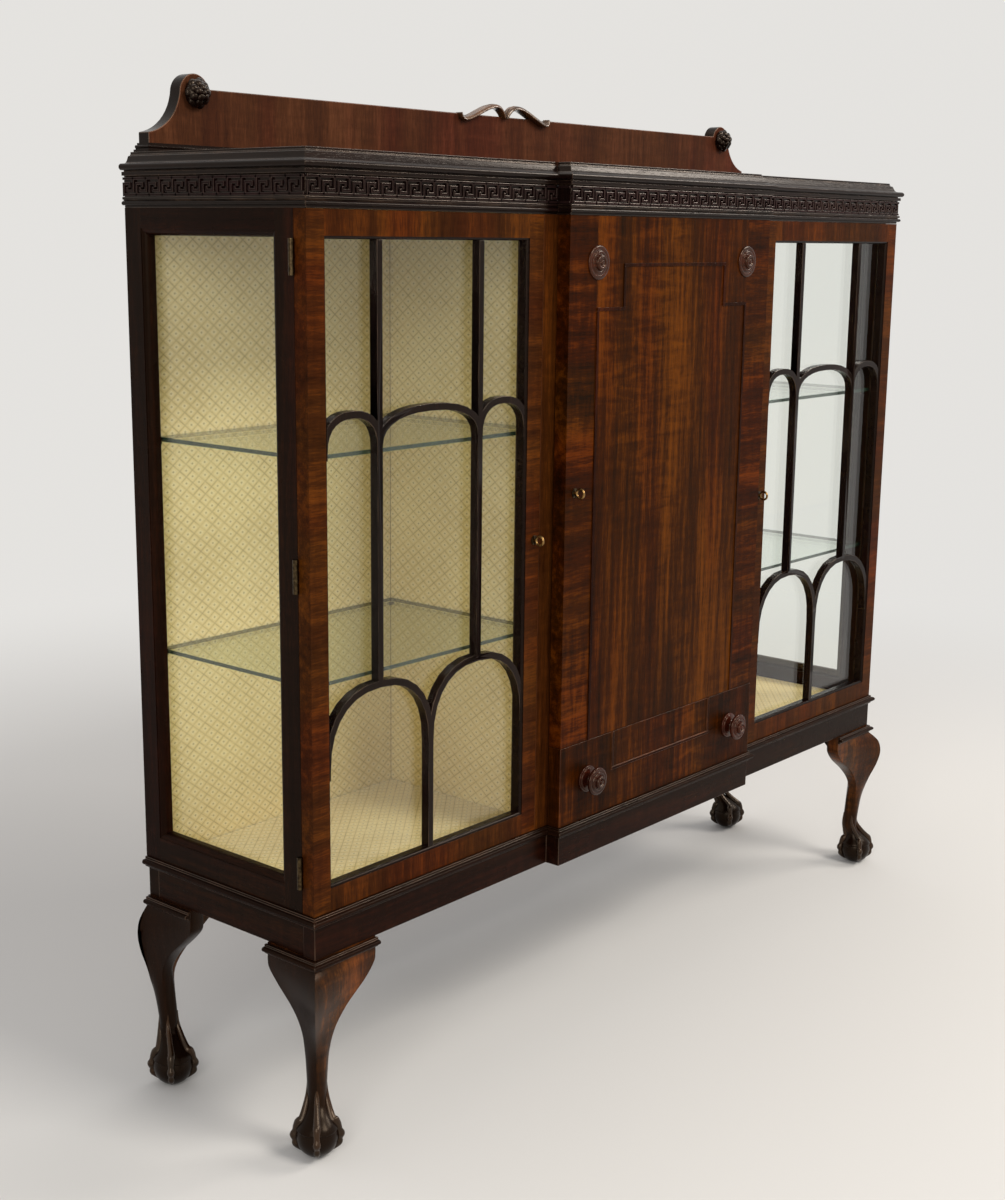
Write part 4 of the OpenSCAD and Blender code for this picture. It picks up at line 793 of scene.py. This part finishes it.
class Shape:
    """Points and faces gathered in lists, for carving that is built ring by ring."""

    def __init__(self):
        self.points, self.faces = [], []

    def rings(self, rings):
        """A closed skin through rings that have the same number of points."""
        start, count = len(self.points), len(rings[0])
        for ring in rings:
            self.points += ring
        for r in range(len(rings) - 1):
            a, b = start + r * count, start + (r + 1) * count
            self.faces += [(a + i, a + (i + 1) % count, b + (i + 1) % count, b + i)
                           for i in range(count)]
        self.faces.append(range(start, start + count))
        self.faces.append(range(len(self.points) - count, len(self.points)))

    def ball(self, middle, radii, turn, segments, rows):
        """An egg-shaped ball with three radii, turned about its middle."""
        rings = []
        for r in range(rows + 1):
            up = math.pi * (r + 0.02) / (rows + 0.04)
            ring = []
            for i in range(segments):
                angle = 2 * math.pi * i / segments
                p = Vector((radii[0] * math.sin(up) * math.cos(angle),
                            radii[1] * math.sin(up) * math.sin(angle), radii[2] * math.cos(up)))
                ring.append(middle + turn @ p)
            rings.append(ring)
        self.rings(rings)

    def limb(self, joints, across, flat, segments=12, steps=5):
        """A round limb along (point, radius) joints, made narrower along across by flat."""
        path = curve([(*p, r) for p, r in joints], steps)
        rings = []
        for i, (x, y, z, r) in enumerate(path):
            before, after = path[max(i - 1, 0)], path[min(i + 1, len(path) - 1)]
            run = (Vector(after[:3]) - Vector(before[:3])).normalized()
            outward = run.cross(across).normalized()
            rings.append([Vector((x, y, z))
                          + outward * r * math.cos(2 * math.pi * k / segments)
                          + across * r * flat * math.sin(2 * math.pi * k / segments)
                          for k in range(segments)])
        self.rings(rings)

    def mesh(self):
        """The gathered shape as a bmesh whose faces all look outwards."""
        data = bpy.data.meshes.new("shape")
        data.from_pydata([tuple(p) for p in self.points], [], [tuple(f) for f in self.faces])
        bm = bmesh.new()
        bm.from_mesh(data)
        bpy.data.meshes.remove(data)
        bmesh.ops.recalc_face_normals(bm, faces=bm.faces)
        return bm


def curve(points, steps):
    """A smooth curve through points of any number of values."""
    out = []
    for i in range(len(points) - 1):
        before, a, b, after = (points[max(0, min(len(points) - 1, i + k))] for k in (-1, 0, 1, 2))
        for n in range(steps):
            t = n / steps
            out.append(tuple(0.5 * (2 * q + (r - p) * t + (2 * p - 5 * q + 4 * r - s) * t * t
                                    + (3 * q - p - 3 * r + s) * t ** 3)
                             for p, q, r, s in zip(before, a, b, after)))
    return out + [tuple(points[-1])]


# Down a leg: height, how far the arris stands out, the wings' reach along the front and along
# the side, how far the section has turned into a circle, and the circle's radius and its middle's
# distance from the corner. Heights and reaches are shares, the rest are millimetres.
LEVELS = [(1.0, 0, 1, 1, 0, 13, 12), (0.965, 0, 1, 1, 0, 13, 12), (0.945, 3, 1, 1, 0, 13, 12),
          (0.91, 11, 1, 1, 0, 14, 10), (0.87, 17, 0.975, 0.965, 0, 15, 8),
          (0.80, 19.5, 0.82, 0.77, 0.01, 16, 4), (0.71, 15.5, 0.53, 0.49, 0.06, 16.5, 6),
          (0.61, 7.5, 0.33, 0.31, 0.22, 15.5, 10), (0.50, 1, 0.235, 0.25, 0.48, 14, 13.5),
          (0.39, -2.5, 0.2, 0.22, 0.74, 13, 15), (0.30, -5, 0.18, 0.2, 0.95, 12.2, 15.4),
          (0.25, -5, 0.18, 0.2, 1, 12.4, 14.6), (0.215, -3, 0.2, 0.2, 1, 14, None),
          (0.185, 0, 0.2, 0.2, 1, 18.6, None), (0.165, 0, 0.2, 0.2, 1, 22.4, None),
          (0.148, 0, 0.2, 0.2, 1, 25.2, None), (0.138, 0, 0.2, 0.2, 1, 26, None),
          (0.131, 0, 0.2, 0.2, 1, 24, None)]
# Down the tendon over a claw: its height as a share of the leg's, its place between the ankle and
# the foot, how far out it stands and its radius
TENDON = [(0.36, 0, 0.0097, 0.0026), (0.29, 0, 0.0107, 0.0036), (0.23, 0.5, 0.0140, 0.0046)]
# Down a claw: the angle from the top of the ball, the distance from the ball's middle as a share
# of its radius, and the claw's radius in millimetres
CLAW = [(38, 1.08, 5.8), (50, 1.07, 6.5), (62, 1.05, 5.5), (75, 1.03, 4.8), (87, 1.06, 6.1),
        (99, 1.03, 4.4), (110, 1.05, 5.2), (122, 1.02, 3.6), (135, 0.98, 2.4), (146, 0.94, 0.8)]
# A claw's width against its depth, and its share of wear and painted highlight
CLAW_FLAT, CLAW_WEAR_AND_HIGHLIGHT = 0.86, 0.7
# How far in from the corner the tendons gather and the shank stands, and the shares of the height
# where the shank starts to move out over the foot and how long that takes
ANKLE_IN, SHANK_IN, MOVE_START, MOVE_RUN = 0.0154, 0.0146, 0.26, 0.085
# The thickness of a wing above and below a share of the height
WING_SHARE, WING_ABOVE, WING_BELOW = 0.7, 0.022, 0.02
# The ball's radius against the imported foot's, and how far it sinks so that it stands flat
BALL_SHARE, BALL_SINK = 0.985, 0.001
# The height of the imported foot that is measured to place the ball
FOOT_TALL = 0.03
# The heights where the stain towards the floor starts and is full
STAIN_TOP, STAIN_FULL = 0.12, 0.05


def leg_section(arris, front, side, thick, round_share, radius, middle):
    """One level of a leg, as (in along the front, in along the side), going round from the
    arris: out to the front wing's tip, back along it, and likewise along the side."""
    def edge(a, b, count, bend=1.0):
        """Points from a up to b. bend above 1 hollows the run to a wing's tip."""
        return [(a[0] + (b[0] - a[0]) * (i / count),
                 b[1] + (a[1] - b[1]) * (1 - i / count) ** bend) for i in range(count)]

    def half(reach):
        """From the arris out to a wing's eased tip, and back to the inner corner."""
        eased_x, eased_y = 0.0015, 0.003
        return (edge(corner, (reach - eased_x, 0), 14, 1.5)
                + [(reach - eased_x, 0), (reach, eased_y), (reach, thick - eased_y)]
                + edge((reach - eased_x, thick), inner, 9))

    corner, inner = (-arris, -arris), (thick, thick)
    outline = half(front) + [inner] + [(v, u) for u, v in half(side)[:0:-1]]
    count = len(outline)
    start = math.radians(225)
    out = []
    for i, (u, v) in enumerate(outline):
        angle = start + 2 * math.pi * i / count
        circle = (middle[0] + radius * math.cos(angle), middle[1] + radius * math.sin(angle))
        out.append((u + (circle[0] - u) * round_share, v + (circle[1] - v) * round_share))
    return out


def carved_leg(node, seed):
    """A cabriole leg with two bracket wings and a sharp front arris, on a claw-and-ball foot."""
    low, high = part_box(node)
    right, rear = high.x > 0, high.y > 0
    corner_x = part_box("front_apron")[1].x * (1 if right else -1)
    corner_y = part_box("gallery_board")[1].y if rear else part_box("left_door_frame")[0].y
    inward = (-1 if right else 1, -1 if rear else 1)
    front = abs((low.x if right else high.x) - corner_x)
    side = abs((low.y if rear else high.y) - corner_y)
    tall = high.z - low.z
    feet = [v.co for v in nodes[node].data.vertices if v.co.z < low.z + FOOT_TALL]
    foot = Vector(((min(c.x for c in feet) + max(c.x for c in feet)) / 2,
                   (min(c.y for c in feet) + max(c.y for c in feet)) / 2, 0))
    foot_in = [abs(foot.x - corner_x), abs(foot.y - corner_y)]
    shape = Shape()

    def place(u, v, z):
        return Vector((corner_x + inward[0] * u,
                       corner_y + inward[1] * (max(v, 0) if rear else v), z))

    levels = []
    for share, arris, f, s, turn, radius, middle in LEVELS:
        if middle is None:
            moved = min(1, (MOVE_START - share) / MOVE_RUN)
            middle = [SHANK_IN + (m - SHANK_IN) * moved for m in foot_in]
        else:
            middle = (middle / 1000, middle / 1000)
        thick = WING_ABOVE if share > WING_SHARE else WING_BELOW
        levels.append((share * tall, arris / 1000, f * front, s * side, thick, turn,
                       radius / 1000, *middle))
    rings = []
    for z, arris, f, s, thick, turn, radius, mu, mv in curve(levels, 4):
        ring = leg_section(arris, f, s, thick, min(max(turn, 0), 1), radius, (mu, mv))
        rings.append([place(u, v, low.z + z) for u, v in ring])
    shape.rings(rings)
    ball = (max(c.x for c in feet) - min(c.x for c in feet)) / 2 * BALL_SHARE
    middle = Vector((foot.x, foot.y, ball - BALL_SINK))
    shape.ball(middle, (ball, ball, ball), Matrix(), segments=40, rows=26)
    ankle = place(ANKLE_IN, ANKLE_IN, 0)
    plain_faces = len(shape.faces)
    for angle in range(45, 405, 90):
        out = Vector((math.cos(math.radians(angle)), math.sin(math.radians(angle)), 0))
        limb = [(ankle.lerp(foot, moved) + out * far + Vector((0, 0, share * tall)), radius)
                for share, moved, far, radius in TENDON]
        for bend, far, radius in CLAW:
            bend = math.radians(bend)
            limb.append((middle + ball * far * (out * math.sin(bend)
                                                + Vector((0, 0, math.cos(bend)))), radius / 1000))
        shape.limb(limb, Vector((-out.y, out.x, 0)), CLAW_FLAT)
    shape.points = [Vector((p.x, p.y, min(max(p.z, low.z), high.z))) for p in shape.points]
    bm = shape.mesh()
    write_grain(bm, upright, seed)
    stain = bm.verts.layers.float.new("stain")
    for v in bm.verts:
        v[stain] = min(max((STAIN_TOP - v.co.z) / (STAIN_TOP - STAIN_FULL), 0), 1)
    wear_and_highlight = bm.faces.layers.float.new("wear_and_highlight")
    around = len(rings[0])
    for i, face in enumerate(bm.faces):
        # The claws take the edge colour over the stained ball: partly wear, partly a painted
        # highlight.
        face[wear_and_highlight] = CLAW_WEAR_AND_HIGHLIGHT * (i >= plain_faces)
        # The side half of the skin takes the darker copy of the wood: painted shade.
        on_skin = i < around * (len(rings) - 1)
        face.material_index = int(on_skin and i % around >= around // 2)
    piece = new_piece(node + ".carved", bm, LEG, body_of_node[node],
                      others=(LEG_SIDE_PAINTED_SHADE,))
    piece.data.set_sharp_from_angle(angle=math.radians(38))
    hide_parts(node)


# Each ring's number of petals, its turn in petals, and a petal's distance, length, width,
# thickness, place out and tilt
PETAL_RINGS = [(7, 0.5, 0.72, 0.3, 0.33, 0.15, 0.3, 0.3), (7, 0, 0.6, 0.28, 0.26, 0.14, 0.55, 0.5),
               (5, 0.3, 0.36, 0.27, 0.23, 0.13, 0.76, 0.45)]


def rosette(shape, middle, radius, back, out):
    """A flower of three rings of overlapping petals round a button, domed like a seed head."""
    def petal(angle, far, long, wide, thick, forward, tip):
        turn = Matrix.Rotation(-angle, 4, "Y") @ Matrix.Rotation(tip, 4, "Z")
        at = Vector((middle.x + far * radius * math.cos(angle), back - forward * out,
                     middle.z + far * radius * math.sin(angle)))
        shape.ball(at, (long * radius, thick * out, wide * radius), turn, 14, 9)

    petal(0, 0, 0.9, 0.9, 0.6, 0.15, 0)
    for count, offset, *petal_shape in PETAL_RINGS:
        for i in range(count):
            petal(2 * math.pi * (i + offset) / count, *petal_shape)
    petal(0, 0, 0.17, 0.17, 0.13, 0.86, 0)


# The crest from its outer end to its middle: the way along as a share of its half length, the
# height and the thickness in millimetres
CREST = [(1.06, 1.0, 2.0), (1.045, -5.0, 2.9), (0.98, -8.6, 3.6), (0.86, -6.4, 4.0),
         (0.7, -0.6, 4.2), (0.52, 6.4, 4.2), (0.38, 10.8, 4.0), (0.26, 12.4, 3.8),
         (0.16, 10.6, 3.6), (0.09, 6.0, 3.2), (0.045, 0.5, 2.6), (0.03, -3.0, 1.8)]
# The depth of its flutes, how far below its top its heights start, and its reach over the board
FLUTE, CREST_DROP, CREST_BACK = 0.0011, 0.0155, 0.008


def crest_leaf(shape, middle, half, front, back, side):
    """A fluted leaf that rises from the board's edge, rolls over and dips at the middle."""
    path = curve([(x * half, z / 1000, t / 1000) for x, z, t in CREST], 5)
    depth = (back - front) / 2
    count, across = len(path), 17
    rings = []
    for i, (x, z, rise) in enumerate(path):
        before, after = path[max(i - 1, 0)], path[min(i + 1, count - 1)]
        run = Vector((after[0] - before[0], after[1] - before[1])).normalized()
        normal = Vector((run.y * side, -run.x))
        wide = depth * (0.72 + 0.28 * math.sin(math.pi * min(1, i / count * 1.15)))
        ring = []
        for j in range(2 * across):
            upper = j < across
            s = -1 + 2 * (j if upper else 2 * across - 1 - j) / (across - 1)
            flute = FLUTE * math.cos(3 * math.pi * s) if upper else 0.0
            dome = rise * math.sqrt(max(0.0, 1 - 0.8 * s * s)) * (1 if upper else -0.55) + flute
            ring.append(Vector((middle.x + side * x + normal.x * dome,
                                (front + back) / 2 + s * wide, middle.z + z + normal.y * dome)))
        rings.append(ring)
    shape.rings(rings)


def gallery_carvings():
    """The rosettes at the ends of the gallery and the crest at its middle."""
    parts = sorted(node_parts("gallery_carvings"), key=lambda p: p[0].x)
    shape = Shape()
    for low, high in (parts[0], parts[-1]):
        rosette(shape, (low + high) / 2, (high.x - low.x) / 2, high.y, high.y - low.y)
    bm = shape.mesh()
    write_grain(bm, upright, 51)
    flowers = new_piece("gallery_rosettes", bm, CARVED, "case")
    low, high = parts[1]
    shape = Shape()
    for side in (-1, 1):
        crest_leaf(shape, Vector((0, 0, high.z - CREST_DROP)), high.x, low.y,
                   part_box("gallery_board")[0].y + CREST_BACK, side)
    bm = shape.mesh()
    write_grain(bm, level, 52)
    crest = new_piece("gallery_crest", bm, CREST_WOOD_AND_SHEEN, "case")
    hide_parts("gallery_carvings")
    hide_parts("gallery_carvings")


def shelf_glass():
    """The glass shelves, with their ground edges marked so that they show green."""
    bm = from_node("glass_shelves")
    ease_edges(bm, 0.0006, 1)
    rim = bm.faces.layers.float.new("rim")
    for face in bm.faces:
        if abs(face.normal.z) < 0.6:
            face[rim] = 1.0
    piece = new_piece("glass_shelves.ground", bm, SHELF, body_of_node["glass_shelves"],
                      smooth=False)
    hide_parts("glass_shelves")


# The size of a lining's mesh and the width of its flat border
CLOTH_STEP, CLOTH_BORDER = 0.004, 0.012


def lining(node, exposed):
    """The cloth in one glazed compartment: three sheets, stretched over the boards and slightly
    puckered. exposed gives, for each sheet's thickness axis, the side that shows."""
    names = {0: "partition", 1: "back", 2: "floor"}
    for low, high in node_parts(node):
        size = high - low
        thin = min(range(3), key=lambda i: size[i])
        wide, tall = [i for i in range(3) if i != thin]
        columns, rows = (max(2, round(size[i] / CLOTH_STEP)) for i in (wide, tall))
        bm = bmesh.new()
        layer = bm.verts.layers.float_vector.new("grain")
        grid = []
        for r in range(rows + 1):
            row = []
            for c in range(columns + 1):
                co = Vector(low)
                co[wide] += size[wide] * c / columns
                co[tall] += size[tall] * r / rows
                edge = min(co[wide] - low[wide], high[wide] - co[wide],
                           co[tall] - low[tall], high[tall] - co[tall])
                soft = min(1.0, edge / CLOTH_BORDER)
                soft = soft * soft * (3 - 2 * soft)
                fold = noise.noise(Vector((co[wide] * 9 + co[tall] * 6, co[tall] * 4, thin * 7)))
                fold += 0.5 * noise.noise(Vector((co[wide] * 26, co[tall] * 14, thin * 3 + 2)))
                lift = (0.35 + 0.4 * (0.5 + fold) * soft) * size[thin]
                lift = min(max(lift, 0.1 * size[thin]), 0.95 * size[thin])
                co[thin] = (low[thin] + lift) if exposed[thin] > 0 else (high[thin] - lift)
                v = bm.verts.new(co)
                v[layer] = Vector((co[wide], co[tall], 0))
                row.append(v)
            grid.append(row)
        for r in range(rows):
            for c in range(columns):
                bm.faces.new((grid[r][c], grid[r][c + 1], grid[r + 1][c + 1], grid[r + 1][c]))
        name = node.replace("lining", names[thin]) + "_cloth"
        piece = new_piece(name, bm, LINING, body_of_node[node])
        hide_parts(node)


greek_key()
turned("door_roundels", "turned_roundels", roundel_profile)
turned("drawer_knobs", "turned_knobs", knob_profile)
for number, name in enumerate(("front_left_leg", "front_right_leg", "rear_left_leg",
                               "rear_right_leg")):
    carved_leg(name, 60 + number)
gallery_carvings()
shelf_glass()
lining("left_lining", {0: -1, 1: -1, 2: 1})
lining("right_lining", {0: 1, 1: -1, 2: 1})

for name in ("side_glass", "left_door_glass", "right_door_glass"):
    nodes[name].data.materials.clear()
    nodes[name].data.materials.append(PANE)
for name in nodes:
    if slot_of_node[name] == "brass":
        for place in nodes[name].material_slots:
            place.material = BRASS if name.endswith("key") else BRONZE
